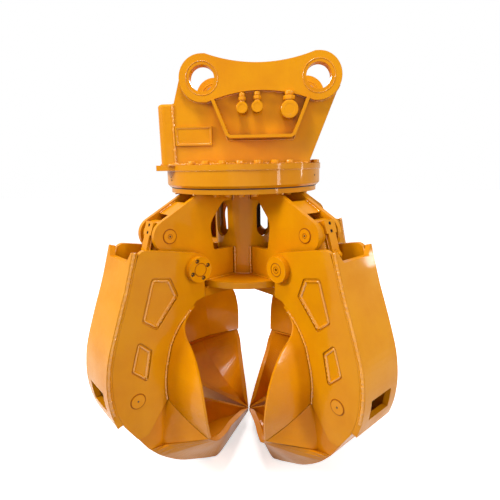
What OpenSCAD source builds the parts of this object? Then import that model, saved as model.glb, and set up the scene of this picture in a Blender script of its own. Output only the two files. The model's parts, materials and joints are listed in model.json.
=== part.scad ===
// Orange peel grab for an excavator: hanger head, slewing ring, frame and four hydraulic tines.
// Origin on the floor under the slewing axis. +Z up, the two hanger pins spaced along X, front at -Y.

/* [Overall] */
// Radius over the closed tines
grab_r = 750; // [720:1:790]
// Height of the top of the closed tines above the floor
tine_top_z = 1038; // [1030:1:1046]
// Turn of the lower half against the head, degrees
slew_rest_a = 2.88; // [-20:0.01:20]

/* [Hanger head] */
// Distance between the two hanger pins
ear_pitch = 445; // [430:1:470]
// Shift of the hanger pins from the slewing axis
ear_shift = 80; // [60:1:90]
// Height of the hanger pins above the head flange
ear_h = 321; // [315:1:345]
// Pin hole in the hanger bushes
ear_bore_d = 96; // [80:1:100]
// Outside of the hanger bushes
ear_bush_d = 120; // [112:1:130]
// Round end of the ears
ear_boss_d = 175; // [165:1:190]
// Free width between the two ear plates
ear_gap = 380; // [340:1:400]
// Thickness of an ear plate
ear_t = 25; // [20:1:30]
// Thickness of the doubler on an ear plate
doubler_t = 20; // [14:1:25]
// Least height of the doubler at its waist
doubler_waist = 99; // [80:1:110]
// How far the top of the waist lies under the top of the ears
waist_drop = 36; // [25:1:45]

/* [Slewing ring] */
// How far the head flange stands out over the bearing housing
flange_rim = 3; // [0:1:15]
// Thickness of the head flange
flange_t = 22; // [18:1:28]
// Height of the bearing housing
housing_h = 69; // [66:1:76]
// Outside radius of the bearing housing
housing_r = 342; // [338:1:344]
// Thickness of the bearing housing wall
housing_wall = 27; // [24:1:29]
// How far the lower ring lies back under the bearing housing
lower_ring_step = 16; // [10:1:22]
// Thickness of the lower ring
lower_ring_t = 19; // [16:1:22]
// Width of the bearing's outer race, from the housing to the ball circle
outer_race_w = 33; // [31:0.5:35]
// Diameter of a bearing ball
ball_d = 22; // [18:1:24]
// Number of balls
ball_count = 40; // [24:1:60]
// Width of the inner race outside the gear teeth
gear_race_w = 45; // [42:1:48]
// Teeth of the ring gear
ring_teeth = 56; // [52:1:60]
// Teeth of the drive pinion
pinion_teeth = 14; // [12:1:15]

/* [Frame] */
// Outside radius of the centre tube
tube_r = 136; // [130:1:142]
// Length of the centre tube between the bottom disc and the lower ring
tube_h = 364; // [360:1:368]
// Wall of the centre tube
tube_wall = 15; // [10:1:18]
// Distance over an arm's two plates
arm_w = 135.4; // [130:0.1:137]
// Thickness of an arm plate
arm_t = 20; // [18:1:22]
// Radius of the bottom disc
disc_r = 280; // [270:1:285]
// Thickness of the bottom disc
disc_t = 28; // [22:1:32]
// Height of the top of the bottom disc
disc_z = 848; // [844:1:850]

/* [Pins] */
// Radius at which the tine pins sit
tine_pin_r = 342.7; // [338:0.1:346]
// Height of the tine pins above the bottom disc
tine_pin_rise = 71; // [67:1:75]
// Diameter of a tine pin
tine_pin_d = 70; // [60:1:76]
// Radius at which the upper cylinder pins sit
upper_pin_r = 434.7; // [430:0.1:438]
// Height of the upper cylinder pins above the tine pins
upper_pin_rise = 139; // [135:1:143]
// Diameter of an upper cylinder pin
upper_pin_d = 58; // [50:1:60]
// How far the lower cylinder pins lie inside the tine's outer edge
lower_pin_inset = 89.25; // [86:0.05:92]
// Height of the lower cylinder pins
lower_pin_z = 452; // [448:1:456]
// Diameter of a lower cylinder pin
lower_pin_d = 60; // [50:1:62]
// Diameter of the round cap on the tine pins
cap_d = 106; // [100:1:112]
// Thickness of the round cap
cap_t = 24.8; // [18:0.1:28]

/* [Tine] */
// Distance over the two side plates of a tine
tine_w = 214.4; // [208:0.1:220]
// Thickness of a side plate
side_t = 20; // [16:1:22]
// Thickness of the back plate
back_t = 22; // [16:1:24]
// Thickness of the shell plate with its wings
shell_t = 10; // [8:1:14]
// Depth of the pressed panels in the side plates
panel_depth = 5; // [3:1:8]
// Half width of the shell between the tips of its wings
wing_w = 313; // [300:1:320]
// Thickness of the lip round the scoop
lip_t = 28; // [20:1:32]
// Half width of the scoop's keel
keel_w = 100; // [90:1:103]

/* [Cylinder] */
// Outside diameter of the barrel
barrel_d = 104; // [96:1:108]
// Bore of the barrel
barrel_bore_d = 80; // [70:1:84]
// Distance from the upper pin to the end of the barrel
barrel_len = 395; // [385:1:400]
// Diameter of the piston rod
rod_d = 56; // [45:1:58]
// Play of the rod eye round the lower pin
eye_play = 13; // [12:1:14]

/* [Hidden] */
// Clearances
over = 1;
fit = 0.05;
run = 0.3;
side_play = 0.5;
// Smoothness
$fn = 72;
corner_steps = 5;

// Axes and places
seal_gap = 5;
lower_ring_z = disc_z + tube_h;
lower_ring_top_z = lower_ring_z + lower_ring_t;
housing_bottom_z = lower_ring_top_z + seal_gap;
housing_top_z = housing_bottom_z + housing_h;
deck_z = housing_top_z + flange_t;
ear_z = deck_z + ear_h;
tine_pin_z = disc_z + tine_pin_rise;
upper_pin_z = tine_pin_z + upper_pin_rise;
edge_r_share = 0.967;
lower_pin_r = grab_r * edge_r_share - lower_pin_inset;
flange_r = housing_r + flange_rim;
lower_ring_r = housing_r - lower_ring_step;
race_gap = 6;
ball_circle_r = housing_r - housing_wall - outer_race_w;
first_arm_a = -135 - slew_rest_a;
arm_in = arm_w / 2 - arm_t;
tine_in = tine_w / 2 - side_t;
ear_in = ear_gap / 2;
ear_out = ear_in + ear_t;
ear_face = ear_out + doubler_t;
ear_x = [ear_shift - ear_pitch / 2, ear_shift + ear_pitch / 2];
boss_r = ear_boss_d / 2;
cyl_dx = lower_pin_r - upper_pin_r;
cyl_dz = upper_pin_z - lower_pin_z;
cyl_len = sqrt(cyl_dx * cyl_dx + cyl_dz * cyl_dz);
cyl_a = atan2(cyl_dx, cyl_dz);
// Roots of the ring gear's teeth lie 1.25 modules outside its pitch circle
gear_root_r = ball_circle_r - race_gap / 2 - gear_race_w;
gear_module = gear_root_r / (ring_teeth / 2 + 1.25);
drive_dist = gear_module * (ring_teeth - pinion_teeth) / 2;
drive_x = -drive_dist;

// Bolts
flange_bolt_d = 16;
flange_bolt_step_a = 12;
flange_bolt_inset = 17;
flange_bolt_r = housing_r - flange_bolt_inset;
ring_bolt_d = 16;
ring_bolt_step_a = 12;
ring_bolt_r = gear_root_r + gear_race_w / 2 - run;
bolt_head_share = 0.65;
bolt_flat_share = 1.6;
bolt_grip = 22;
cap_bolt_d = 12;
cap_bolt_circle_share = 0.72;

orange = "#E8960C";
amber = "#F2A71B";
steel = "#9AA0A6";
rubber = "#1C1C1C";
brass = "#B08D4A";

// Outlines

function unit(v) = v / norm(v);

// One corner of a rounded outline: an arc of radius r that touches both edges
function corner(p0, p1, p2, r) =
    let(a = unit(p0 - p1), b = unit(p2 - p1), half = acos(max(-1, min(1, a * b))) / 2)
    r <= 0 || half > 89.5 ? [p1] :
    let(reach = min(r / tan(half), norm(p0 - p1) * 0.49, norm(p2 - p1) * 0.49),
        rr = reach * tan(half),
        c = p1 + unit(a + b) * rr / sin(half),
        s = p1 + a * reach - c, e = p1 + b * reach - c,
        a0 = atan2(s[1], s[0]), da = (atan2(e[1], e[0]) - a0 + 540) % 360 - 180)
    [for (i = [0:corner_steps]) c + rr * [cos(a0 + da * i / corner_steps), sin(a0 + da * i / corner_steps)]];

// A closed outline of points [x, y, corner radius]
function rounded(pts) =
    let(n = len(pts), xy = [for (p = pts) [p[0], p[1]]])
    [for (i = [0:n - 1]) each corner(xy[(i + n - 1) % n], xy[i], xy[(i + 1) % n], pts[i][2])];

// Normal of an open line at point i, to the left of its run
function line_normal(pts, i) =
    let(a = pts[max(i - 1, 0)], b = pts[min(i + 1, len(pts) - 1)], d = unit(b - a))
    [-d[1], d[0]];

// The line moved sideways by d
function beside(pts, d) = [for (i = [0:len(pts) - 1]) pts[i] + d * line_normal(pts, i)];

// A band between the line and its copy moved by d
function band(pts, d) = let(q = beside(pts, d), n = len(pts)) concat(pts, [for (i = [0:n - 1]) q[n - 1 - i]]);

// The row of table t at station f, on a smooth curve through its rows a to b
function smooth(t, a, b, f) =
    let(i = min(floor(f), b - 1), u = f - i,
        p0 = t[max(i - 1, a)], p1 = t[i], p2 = t[i + 1], p3 = t[min(i + 2, b)])
    (2 * p1 + (p2 - p0) * u + (2 * p0 - 5 * p1 + 4 * p2 - p3) * u * u
        + (3 * p1 - 3 * p2 + p3 - p0) * u * u * u) / 2;

// All rows of a table with n steps between each two of them
function fine_rows(t, n) = let(b = len(t) - 1) [for (k = [0:b * n]) smooth(t, 0, b, k / n)];

// A tine outline point from its shares of the grab's radius and of the tine's height
function tine_pt(s) = [s[0] * grab_r, s[1] * tine_top_z];
function tine_pts(t) = [for (s = t) tine_pt(s)];
function tine_corners(t) = [for (s = t) [s[0] * grab_r, s[1] * tine_top_z, s[2] * tine_w]];

// A plate drawn in the X-Z plane, from y0 to y0 + t
module slab(y0, t) {
    translate([0, y0 + t, 0]) rotate([90, 0, 0]) linear_extrude(t) children();
}

// A round bar along Y, from y0 to y1
module bar_y(d, y0, y1) {
    translate([0, y1, 0]) rotate([90, 0, 0]) cylinder(d = d, h = y1 - y0);
}

// Turns a child drawn along +X to arm number i
module on_arm(i) {
    rotate([0, 0, first_arm_a + 90 * i]) children();
}

// A closed solid between rings of equal numbers of points. The ends of a band are closed
// in strips between its two faces, and other ends in a fan.
module loft(rings, is_band) {
    n = len(rings[0]);
    m = len(rings);
    points = [for (r = rings) each r];
    sides = [for (k = [0:m - 2]) for (i = [0:n - 1]) let(a = k * n + i, b = k * n + (i + 1) % n)
        each [[a, b, a + n], [b, b + n, a + n]]];
    cap = is_band
        ? [for (i = [0:n / 2 - 2]) each [[i, n - 1 - i, i + 1], [i + 1, n - 1 - i, n - 2 - i]]]
        : [for (i = [1:n - 2]) [0, i + 1, i]];
    last = [for (c = cap) [for (j = [2, 1, 0]) (m - 1) * n + c[j]]];
    polyhedron(points, concat(sides, cap, last), convexity = 8);
}

// Hexagon bolt with its head upwards and the underside of the head at z = 0
module hex_bolt(d, grip) {
    head = d * bolt_flat_share / cos(30);
    cylinder(d = head, h = d * bolt_head_share, $fn = 6);
    translate([0, 0, -grip]) cylinder(d = d, h = grip, $fn = 24);
}

// Hanger head

// Lean of the right edge of an ear plate, and the place of the motor cover at its left
edge_slope_a = 21.3;
cover_h = 235;
cover_x = -264;
cover_end_x = -328;
left_edge_lean = 5;
cover_top_z = deck_z + cover_h;
left_top_x = cover_x + left_edge_lean;

// Tangent point of the slanted right edge on the right boss
right_touch = [ear_x[1] + boss_r * cos(edge_slope_a), ear_z - boss_r * sin(edge_slope_a)];
right_foot_x = right_touch[0] - (right_touch[1] - deck_z) * tan(edge_slope_a);
left_lean_a = 14.5;
left_touch = [ear_x[0] - boss_r * cos(left_lean_a), ear_z + boss_r * sin(left_lean_a)];

// Radius of an arc that touches both bosses and lies drop below or rise above the boss edge line
function waist_arc_r(off) =
    let(h = ear_pitch / 2, g = boss_r)
    (h * h + off * off - g * g) / (2 * (g - off));

module ear_outline() {
    difference() {
        union() {
            for (x = ear_x) translate([x, ear_z]) circle(r = boss_r);
            polygon([[cover_x, deck_z], [right_foot_x, deck_z], right_touch, [ear_x[1], ear_z],
                [ear_x[0], ear_z], left_touch, [left_top_x, cover_top_z], [cover_x, cover_top_z]]);
            translate([ear_x[0], ear_z]) square([ear_pitch, boss_r]);
        }
        waist_cut_top();
    }
}

// The round dip between the ears
module waist_cut_top() {
    off = boss_r - waist_drop;
    r = waist_arc_r(off);
    translate([ear_shift, ear_z + off + r]) circle(r = r, $fn = 160);
}

module waist_cut_bottom() {
    off = doubler_waist - boss_r + waist_drop;
    r = waist_arc_r(off);
    translate([ear_shift, ear_z - off - r]) circle(r = r, $fn = 160);
}

// Holes for the bushes
module ear_holes() {
    for (x = ear_x) translate([x, ear_z]) circle(r = ear_bush_d / 2 + fit);
}

module ear_plate() {
    slab(-ear_out, ear_t) difference() {
        ear_outline();
        ear_holes();
    }
}

module front_ear_plate() {
    color(orange) ear_plate();
}

module rear_ear_plate() {
    color(orange) translate([0, ear_out + ear_in, 0]) ear_plate();
}

module saddle_outline() {
    difference() {
        union() {
            for (x = ear_x) translate([x, ear_z]) circle(r = boss_r);
            translate([ear_x[0], ear_z - boss_r]) square([ear_pitch, ear_boss_d]);
        }
        waist_cut_top();
        waist_cut_bottom();
        ear_holes();
    }
}

module saddle_plates() {
    color(amber) for (y = [-ear_face, ear_out]) slab(y, doubler_t) saddle_outline();
}

module ear_bushes() {
    length = ear_t + doubler_t;
    color(orange) for (x = ear_x) for (y = [-ear_face, ear_in]) translate([x, 0, ear_z]) difference() {
        bar_y(ear_bush_d, y, y + length);
        bar_y(ear_bore_d, y - over, y + length + over);
    }
}

// The bent plate between the ears that closes the head at the right and at the top
web_t = 14;
web_h = 222;
web_top_z = deck_z + web_h;
web_inset = 12;
web_bend_r = 40;

module bracket_web() {
    lean = tan(edge_slope_a);
    foot = right_foot_x - web_inset;
    top = foot + (web_top_z - deck_z) * lean;
    foot_in = foot - web_t / cos(edge_slope_a);
    top_in = foot_in + (web_top_z - web_t - deck_z) * lean;
    end_x = cover_x + run;
    color(orange) slab(-ear_in, ear_gap) difference() {
        polygon(rounded([[foot, deck_z, 0], [top, web_top_z, web_bend_r],
            [end_x, web_top_z, 0], [end_x, deck_z, 0]]));
        polygon(rounded([[foot_in, deck_z - over, 0], [top_in, web_top_z - web_t, web_bend_r - web_t],
            [end_x - over, web_top_z - web_t, 0], [end_x - over, deck_z - over, 0]]));
    }
}

// Welded box round the slewing motor at the left of the head
cover_t = 8;
cover_corner_r = 30;
cover_edge_r = 12;

function cover_outline(d) = rounded([[cover_x, -ear_out + d, 0], [cover_x, ear_out - d, 0],
    [cover_end_x + d, ear_out - d, cover_corner_r - d], [cover_end_x + d, -ear_out + d, cover_corner_r - d]]);

module motor_cover() {
    height = cover_top_z - deck_z;
    color(orange) translate([0, 0, deck_z]) difference() {
        union() {
            linear_extrude(height - cover_edge_r) polygon(cover_outline(0));
            translate([0, 0, height - cover_edge_r]) hull() {
                linear_extrude(cover_edge_r / 4) polygon(cover_outline(0));
                linear_extrude(cover_edge_r * 0.7) polygon(cover_outline(cover_edge_r * 0.25));
                linear_extrude(cover_edge_r) polygon(cover_outline(cover_edge_r * 0.8));
            }
        }
        translate([0, 0, -over]) linear_extrude(height - cover_t + over) polygon(cover_outline(cover_t));
    }
}

// Places round the flange where a bolt is clear of the ear plates and the motor cover
flange_bolt_places = [for (k = [0:360 / flange_bolt_step_a - 1])
    let(a = k * flange_bolt_step_a + flange_bolt_step_a / 2,
        p = flange_bolt_r * [cos(a), sin(a)])
    if ((abs(p[1]) > ear_out + flange_bolt_d || abs(p[1]) < ear_in - flange_bolt_d)
        && (p[0] > cover_x + flange_bolt_d || abs(p[1]) > ear_out + flange_bolt_d)
        && (abs(p[1]) > ear_in || p[0] > right_foot_x + flange_bolt_d)) p];

stem_hole_d = 110;
pinion_tip_r = gear_module * (pinion_teeth / 2 + 0.9);

module head_flange() {
    color(orange) translate([0, 0, housing_top_z]) linear_extrude(flange_t) difference() {
        union() {
            circle(r = flange_r, $fn = 160);
            translate([-flange_r, -ear_out]) square([flange_r, 2 * ear_out]);
        }
        circle(d = stem_hole_d);
        translate([drive_x, 0]) circle(r = pinion_tip_r + gear_module / 2);
        for (p = flange_bolt_places) translate(p) circle(d = flange_bolt_d + 2 * run, $fn = 24);
    }
}

module flange_bolts() {
    color(amber) for (p = flange_bolt_places) translate([p[0], p[1], deck_z])
        hex_bolt(flange_bolt_d, flange_t + bolt_grip);
}

// Bent flat bar that guards the oil ports
guard_w = 55;
guard_t = 12;
guard_top_h = 240;
guard_bottom_h = 97;
guard_top_half = 187.5;
guard_bottom_half = 130;
guard_top_z = deck_z + guard_top_h;
guard_bottom_z = deck_z + guard_bottom_h;
guard_top_x = [ear_shift - guard_top_half, ear_shift + guard_top_half];
guard_bottom_x = [ear_shift - guard_bottom_half, ear_shift + guard_bottom_half];
guard_bend_r = 26;

module port_guard() {
    lean = (guard_bottom_x[0] - guard_top_x[0]) / (guard_top_z - guard_bottom_z);
    wall = guard_t * sqrt(1 + lean * lean);
    inner_z = guard_bottom_z + guard_t;
    shift = wall - guard_t * lean;
    color(amber) slab(-ear_out - guard_w, guard_w) difference() {
        polygon(rounded([[guard_top_x[0], guard_top_z, 0], [guard_bottom_x[0], guard_bottom_z, guard_bend_r],
            [guard_bottom_x[1], guard_bottom_z, guard_bend_r], [guard_top_x[1], guard_top_z, 0]]));
        polygon(rounded([[guard_top_x[0] + wall - over * lean, guard_top_z + over, 0],
            [guard_bottom_x[0] + shift, inner_z, guard_bend_r - guard_t],
            [guard_bottom_x[1] - shift, inner_z, guard_bend_r - guard_t],
            [guard_top_x[1] - wall + over * lean, guard_top_z + over, 0]]));
    }
}

// Capped elbows where the machine's hoses are fitted: [from the ears' middle, height over the flange, diameter]
port_small_d = 44;
port_large_d = 67;
port_reach = 52;
port_places = [[-70, 208, port_small_d], [-12, 211, port_small_d], [110, 199, port_large_d]];

module oil_ports() {
    color(amber) for (p = port_places) {
        d = p[2];
        neck_d = d * 0.5;
        neck_h = d * 0.45;
        translate([ear_shift + p[0], 0, deck_z + p[1]]) {
            bar_y(d * 0.8, -ear_out - port_reach * 0.75, -ear_out);
            bar_y(d, -ear_out - port_reach, -ear_out - port_reach * 0.7);
            translate([0, -ear_out - port_reach * 0.42, 0]) {
                cylinder(d = neck_d, h = d * 0.4 + neck_h, $fn = 32);
                translate([0, 0, d * 0.4 + neck_h * 0.35])
                    cylinder(d = neck_d * 1.4, h = neck_h * 0.45, $fn = 6);
            }
        }
    }
}

// Bare plate with a raised rim
plate_w = 146;
plate_h = 74;
plate_t = 8;
plate_rim = 6;
plate_sink = 3;

module name_plate() {
    color(orange) translate([cover_x + plate_rim, -ear_out - plate_t, deck_z + plate_h]) difference() {
        cube([plate_w, plate_t, plate_h]);
        translate([plate_rim, -over, plate_rim])
            cube([plate_w - 2 * plate_rim, plate_sink + over, plate_h - 2 * plate_rim]);
    }
}

// Slewing ring

housing_chamfer = 9;

module bearing_housing() {
    inner = housing_r - housing_wall;
    color(orange) difference() {
        rotate_extrude($fn = 160) polygon([[inner, housing_bottom_z],
            [housing_r - housing_chamfer, housing_bottom_z], [housing_r, housing_bottom_z + housing_chamfer],
            [housing_r, housing_top_z], [inner, housing_top_z]]);
        for (p = flange_bolt_places) translate([p[0], p[1], housing_top_z - bolt_grip - run])
            cylinder(d = flange_bolt_d + 2 * run, h = bolt_grip + run + over, $fn = 24);
    }
}

race_lift = 7;
race_h = 59;
race_bottom_z = housing_bottom_z + race_lift;
race_top_z = lower_ring_top_z + race_h;
ball_z = (race_bottom_z + race_top_z) / 2;
groove_r = ball_d / 2 + run;

module outer_race() {
    inner = ball_circle_r + race_gap / 2;
    color(steel) difference() {
        rotate_extrude($fn = 160) translate([inner, race_bottom_z])
            square([housing_r - housing_wall - run - inner, housing_top_z - race_bottom_z]);
        rotate_extrude($fn = 160) translate([ball_circle_r, ball_z]) circle(r = groove_r, $fn = 32);
    }
}

module slew_balls() {
    color(steel) for (k = [0:ball_count - 1]) rotate([0, 0, 360 * k / ball_count])
        translate([ball_circle_r, 0, ball_z]) sphere(d = ball_d, $fn = 20);
}

module slew_seal() {
    outer = housing_r - housing_wall * 0.7;
    seal_w = 22;
    color(rubber) translate([0, 0, lower_ring_top_z + run]) difference() {
        cylinder(r = outer, h = seal_gap - run, $fn = 160);
        translate([0, 0, -over]) cylinder(r = outer - seal_w, h = seal_gap + 2 * over, $fn = 160);
    }
}

// Involute tooth outline: teeth, module, tip and root radius, thinning of the tooth at the pitch circle
pressure_a = 20;
function inv_a(a) = tan(a) * 180 / PI - a;
function half_tooth_a(z, m, r, thin) =
    let(rp = z * m / 2, rb = rp * cos(pressure_a))
    90 / z - thin / rp * 90 / PI + inv_a(pressure_a) - inv_a(acos(min(1, rb / max(r, rb))));

module gear_outline(z, m, tip_r, root_r, thin) {
    flank_steps = 4;
    base_r = z * m / 2 * cos(pressure_a);
    start_r = max(root_r, base_r);
    flank = [for (i = [0:flank_steps]) let(r = start_r + (tip_r - start_r) * i / flank_steps)
        [r, half_tooth_a(z, m, r, thin)]];
    points = [for (k = [0:z - 1]) let(mid = 360 * k / z) each concat(
        [root_r * [cos(mid - flank[0][1]), sin(mid - flank[0][1])]],
        [for (f = flank) f[0] * [cos(mid - f[1]), sin(mid - f[1])]],
        [for (i = [flank_steps:-1:0]) flank[i][0] * [cos(mid + flank[i][1]), sin(mid + flank[i][1])]],
        [root_r * [cos(mid + flank[0][1]), sin(mid + flank[0][1])]])];
    polygon(points);
}

gear_thin = 0.6;
pinion_face = 44;
pinion_lift = 8;
pinion_z = lower_ring_top_z + pinion_lift;

// The pinion with its shaft up into the slewing motor
drive_shaft_d = 48;
drive_shaft_rise = 60;
drive_shaft_top_z = deck_z + drive_shaft_rise;

module drive_pinion() {
    color(steel) translate([drive_x, 0, 0]) {
        translate([0, 0, pinion_z]) rotate([0, 0, 180]) linear_extrude(pinion_face)
            gear_outline(pinion_teeth, gear_module, pinion_tip_r,
                gear_module * (pinion_teeth / 2 - 1.1), gear_thin);
        translate([0, 0, pinion_z + pinion_face])
            cylinder(d = drive_shaft_d, h = drive_shaft_top_z - pinion_z - pinion_face);
    }
}

module gear_race() {
    tip_r = gear_module * (ring_teeth / 2 - 0.7);
    color(steel) difference() {
        translate([0, 0, lower_ring_top_z])
            cylinder(r = ball_circle_r - race_gap / 2, h = race_top_z - lower_ring_top_z, $fn = 160);
        translate([0, 0, lower_ring_top_z - over]) rotate([0, 0, 180])
            linear_extrude(race_top_z - lower_ring_top_z + 2 * over)
            gear_outline(ring_teeth, gear_module, gear_root_r, tip_r, -gear_thin);
        rotate_extrude($fn = 160) translate([ball_circle_r, ball_z]) circle(r = groove_r, $fn = 32);
        ring_bolt_holes(ring_bolt_d + 2 * fit);
    }
}

// Places round the lower ring where a bolt head is clear of the arm plates
ring_bolt_angles = [for (k = [0:360 / ring_bolt_step_a - 1])
    let(a = k * ring_bolt_step_a, t = ring_bolt_r * abs(sin((a + 45) % 90 - 45)))
    if (t < arm_in - ring_bolt_d || t > arm_w / 2 + ring_bolt_d * 0.94) first_arm_a + a];

module ring_bolt_holes(d) {
    for (a = ring_bolt_angles) rotate([0, 0, a]) translate([ring_bolt_r, 0, lower_ring_z - over])
        cylinder(d = d, h = lower_ring_t + bolt_grip + over + run, $fn = 24);
}

ring_hole_r = 100;

module lower_ring() {
    color(orange) difference() {
        translate([0, 0, lower_ring_z]) cylinder(r = lower_ring_r, h = lower_ring_t, $fn = 160);
        translate([0, 0, lower_ring_z - over]) cylinder(r = ring_hole_r, h = lower_ring_t + 2 * over);
        ring_bolt_holes(ring_bolt_d + 2 * run);
    }
}

module ring_bolts() {
    color(amber) for (a = ring_bolt_angles) rotate([0, 0, a]) translate([ring_bolt_r, 0, lower_ring_z])
        rotate([180, 0, 0]) hex_bolt(ring_bolt_d, lower_ring_t + bolt_grip);
}

// Slewing motor with its planetary gearbox, over the pinion
stem_flange_r = 70;
stem_flange_gap = 3;
motor_base_d = 2 * (drive_dist - stem_flange_r - stem_flange_gap);
motor_gear_share = 0.79;
motor_share = 0.55;
motor_heights = [18, 96, 190];

module slew_motor() {
    color(steel) translate([drive_x, 0, deck_z]) difference() {
        union() {
            cylinder(d = motor_base_d, h = motor_heights[0]);
            cylinder(d = motor_base_d * motor_gear_share, h = motor_heights[1]);
            cylinder(d = motor_base_d * motor_share, h = motor_heights[2]);
        }
        translate([0, 0, -over])
            cylinder(d = drive_shaft_d + 2 * run, h = drive_shaft_rise + run + over);
    }
}

// Oil swivel on the slewing axis
stem_d = 90;
stem_flange_t = 15;
stem_drop = 202;
stem_bottom_z = lower_ring_z - stem_drop;
swivel_drop = 172;
swivel_d = 150;
swivel_flange_t = 12;
swivel_z = [lower_ring_z - swivel_drop, lower_ring_z - swivel_flange_t];

module swivel_stem() {
    color(steel) {
        translate([0, 0, stem_bottom_z]) cylinder(d = stem_d, h = deck_z - stem_bottom_z);
        translate([0, 0, deck_z]) cylinder(r = stem_flange_r, h = stem_flange_t);
    }
}

module swivel_housing() {
    color(steel) difference() {
        union() {
            translate([0, 0, swivel_z[0]]) cylinder(d = swivel_d, h = swivel_z[1] - swivel_z[0]);
            translate([0, 0, swivel_z[1]]) cylinder(r = tube_r - tube_wall - run, h = swivel_flange_t);
        }
        translate([0, 0, swivel_z[0] - over])
            cylinder(d = stem_d + 2 * fit, h = lower_ring_z - swivel_z[0] + 2 * over);
    }
}

// Frame

slot_w = 79;
slot_drops = [200, 40];
slot_z = [lower_ring_z - slot_drops[0], lower_ring_z - slot_drops[1]];

module centre_tube() {
    color(orange) difference() {
        translate([0, 0, disc_z]) cylinder(r = tube_r, h = lower_ring_z - disc_z, $fn = 120);
        translate([0, 0, disc_z - over])
            cylinder(r = tube_r - tube_wall, h = lower_ring_z - disc_z + 2 * over, $fn = 120);
        for (i = [0:3]) on_arm(i) tube_slot();
    }
}

// Long hole through the tube wall for the hoses of one arm
module tube_slot() {
    length = tube_r + over;
    for (z = [slot_z[0] + slot_w / 2, slot_z[1] - slot_w / 2])
        translate([0, 0, z]) rotate([0, 90, 0]) cylinder(d = slot_w, h = length);
    translate([0, -slot_w / 2, slot_z[0] + slot_w / 2])
        cube([length, slot_w, slot_z[1] - slot_z[0] - slot_w]);
}

arm_end_r = 67;
arm_foot_r = 70;
arm_slope_a = 28.7;
window_corner_r = 16;

// Where the sloped top edge of an arm meets the lower ring
arm_top_r = upper_pin_r + arm_end_r * sin(arm_slope_a)
    - (lower_ring_z - upper_pin_z - arm_end_r * cos(arm_slope_a)) / tan(arm_slope_a);
arm_root_r = sqrt(tube_r * tube_r - arm_in * arm_in) + run;

// The large opening beside the centre tube
window_top_drop = 35;
window_rise = 124;
window_top_z = lower_ring_z - window_top_drop;
window_bottom_z = disc_z + window_rise;
window_out_r = 245;

module arm_outline() {
    touch = [upper_pin_r + arm_end_r * sin(arm_slope_a), upper_pin_z + arm_end_r * cos(arm_slope_a)];
    difference() {
        union() {
            polygon([[arm_root_r, disc_z], [tine_pin_r, disc_z],
                [tine_pin_r + arm_foot_r * 0.93, tine_pin_z - arm_foot_r * 0.36],
                [upper_pin_r + arm_end_r, upper_pin_z], touch,
                [arm_top_r, lower_ring_z], [arm_root_r, lower_ring_z]]);
            translate([upper_pin_r, upper_pin_z]) circle(r = arm_end_r);
            translate([tine_pin_r, tine_pin_z]) circle(r = arm_foot_r);
        }
        polygon(rounded([[arm_root_r - over, window_bottom_z, 0],
            [window_out_r - window_corner_r, window_bottom_z, window_corner_r],
            [window_out_r, window_top_z - window_out_r * 0.36, window_out_r * 0.3],
            [window_out_r * 0.7, window_top_z, window_corner_r * 2], [arm_root_r - over, window_top_z, 0]]));
    }
}

// The two plates of one arm with their bearing bosses and bushes
arm_bush_t = 7;
arm_boss_d = 124;
arm_boss_t = tine_in - arm_w / 2 - run;

module arm(i) {
    bush_d = tine_pin_d + 2 * fit + 2 * arm_bush_t;
    color(orange) on_arm(i) for (side = [-1, 1]) difference() {
        union() {
            slab(side > 0 ? arm_in : -arm_w / 2, arm_t) arm_outline();
            translate([tine_pin_r, 0, tine_pin_z])
                bar_y(arm_boss_d, side > 0 ? arm_w / 2 : -arm_w / 2 - arm_boss_t,
                    side > 0 ? arm_w / 2 + arm_boss_t : -arm_w / 2);
        }
        translate([tine_pin_r, 0, tine_pin_z]) bar_y(bush_d + 2 * fit, -tine_w, tine_w);
        translate([upper_pin_r, 0, upper_pin_z]) bar_y(upper_pin_d + 2 * fit, -tine_w, tine_w);
    }
    color(brass) on_arm(i) for (side = [-1, 1]) translate([tine_pin_r, 0, tine_pin_z]) difference() {
        bar_y(bush_d, side > 0 ? arm_in : -arm_w / 2 - arm_boss_t, side > 0 ? arm_w / 2 + arm_boss_t : -arm_in);
        bar_y(tine_pin_d + 2 * fit, -tine_w, tine_w);
    }
}

// Sloped plates between an arm's two plates, with a round bite for the eye of the cylinder
arm_cover_t = 12;
arm_cover_sink = 10;
arm_cover_gap = 52;
arm_bite_gap = 14;

module arm_covers() {
    reach = (upper_pin_r - arm_top_r) / cos(arm_slope_a);
    color(amber) for (i = [0:3]) on_arm(i) difference() {
        translate([arm_top_r, -arm_in, lower_ring_z]) rotate([0, arm_slope_a, 0])
            translate([arm_cover_gap, 0, -arm_cover_sink - arm_cover_t])
            cube([reach - arm_cover_gap - over, 2 * arm_in, arm_cover_t]);
        translate([upper_pin_r, 0, upper_pin_z])
            bar_y(2 * (arm_end_r + arm_bite_gap), -arm_in - over, arm_in + over);
    }
}

module bottom_disc() {
    color(orange) translate([0, 0, disc_z - disc_t]) difference() {
        cylinder(r = disc_r, h = disc_t, $fn = 120);
        translate([0, 0, -over]) cylinder(r = tube_r - tube_wall - disc_t, h = disc_t + 2 * over);
    }
}

// Ribs under the disc, in line with the arm plates
rib_h = 42;
rib_out_r = 284;
rib_in_r = 110;

module stop_ribs() {
    color(orange) for (i = [0:3]) on_arm(i) {
        for (side = [-1, 1]) slab(side > 0 ? arm_in : -arm_w / 2, arm_t)
            polygon([[rib_in_r, disc_z - disc_t], [rib_in_r + rib_h / 2, disc_z - disc_t - rib_h],
                [rib_out_r, disc_z - disc_t - rib_h], [rib_out_r, disc_z - disc_t]]);
        translate([rib_out_r - arm_t, -arm_in, disc_z - disc_t - rib_h]) cube([arm_t, 2 * arm_in, rib_h]);
    }
}

pin_end = 3;

// A bar along Y whose ends stand proud of a width w and are turned smaller
module pin_bar(d, w) {
    bar_y(d, -w / 2, w / 2);
    bar_y(d - 2 * pin_end, -w / 2 - pin_end, w / 2 + pin_end);
}

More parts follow.
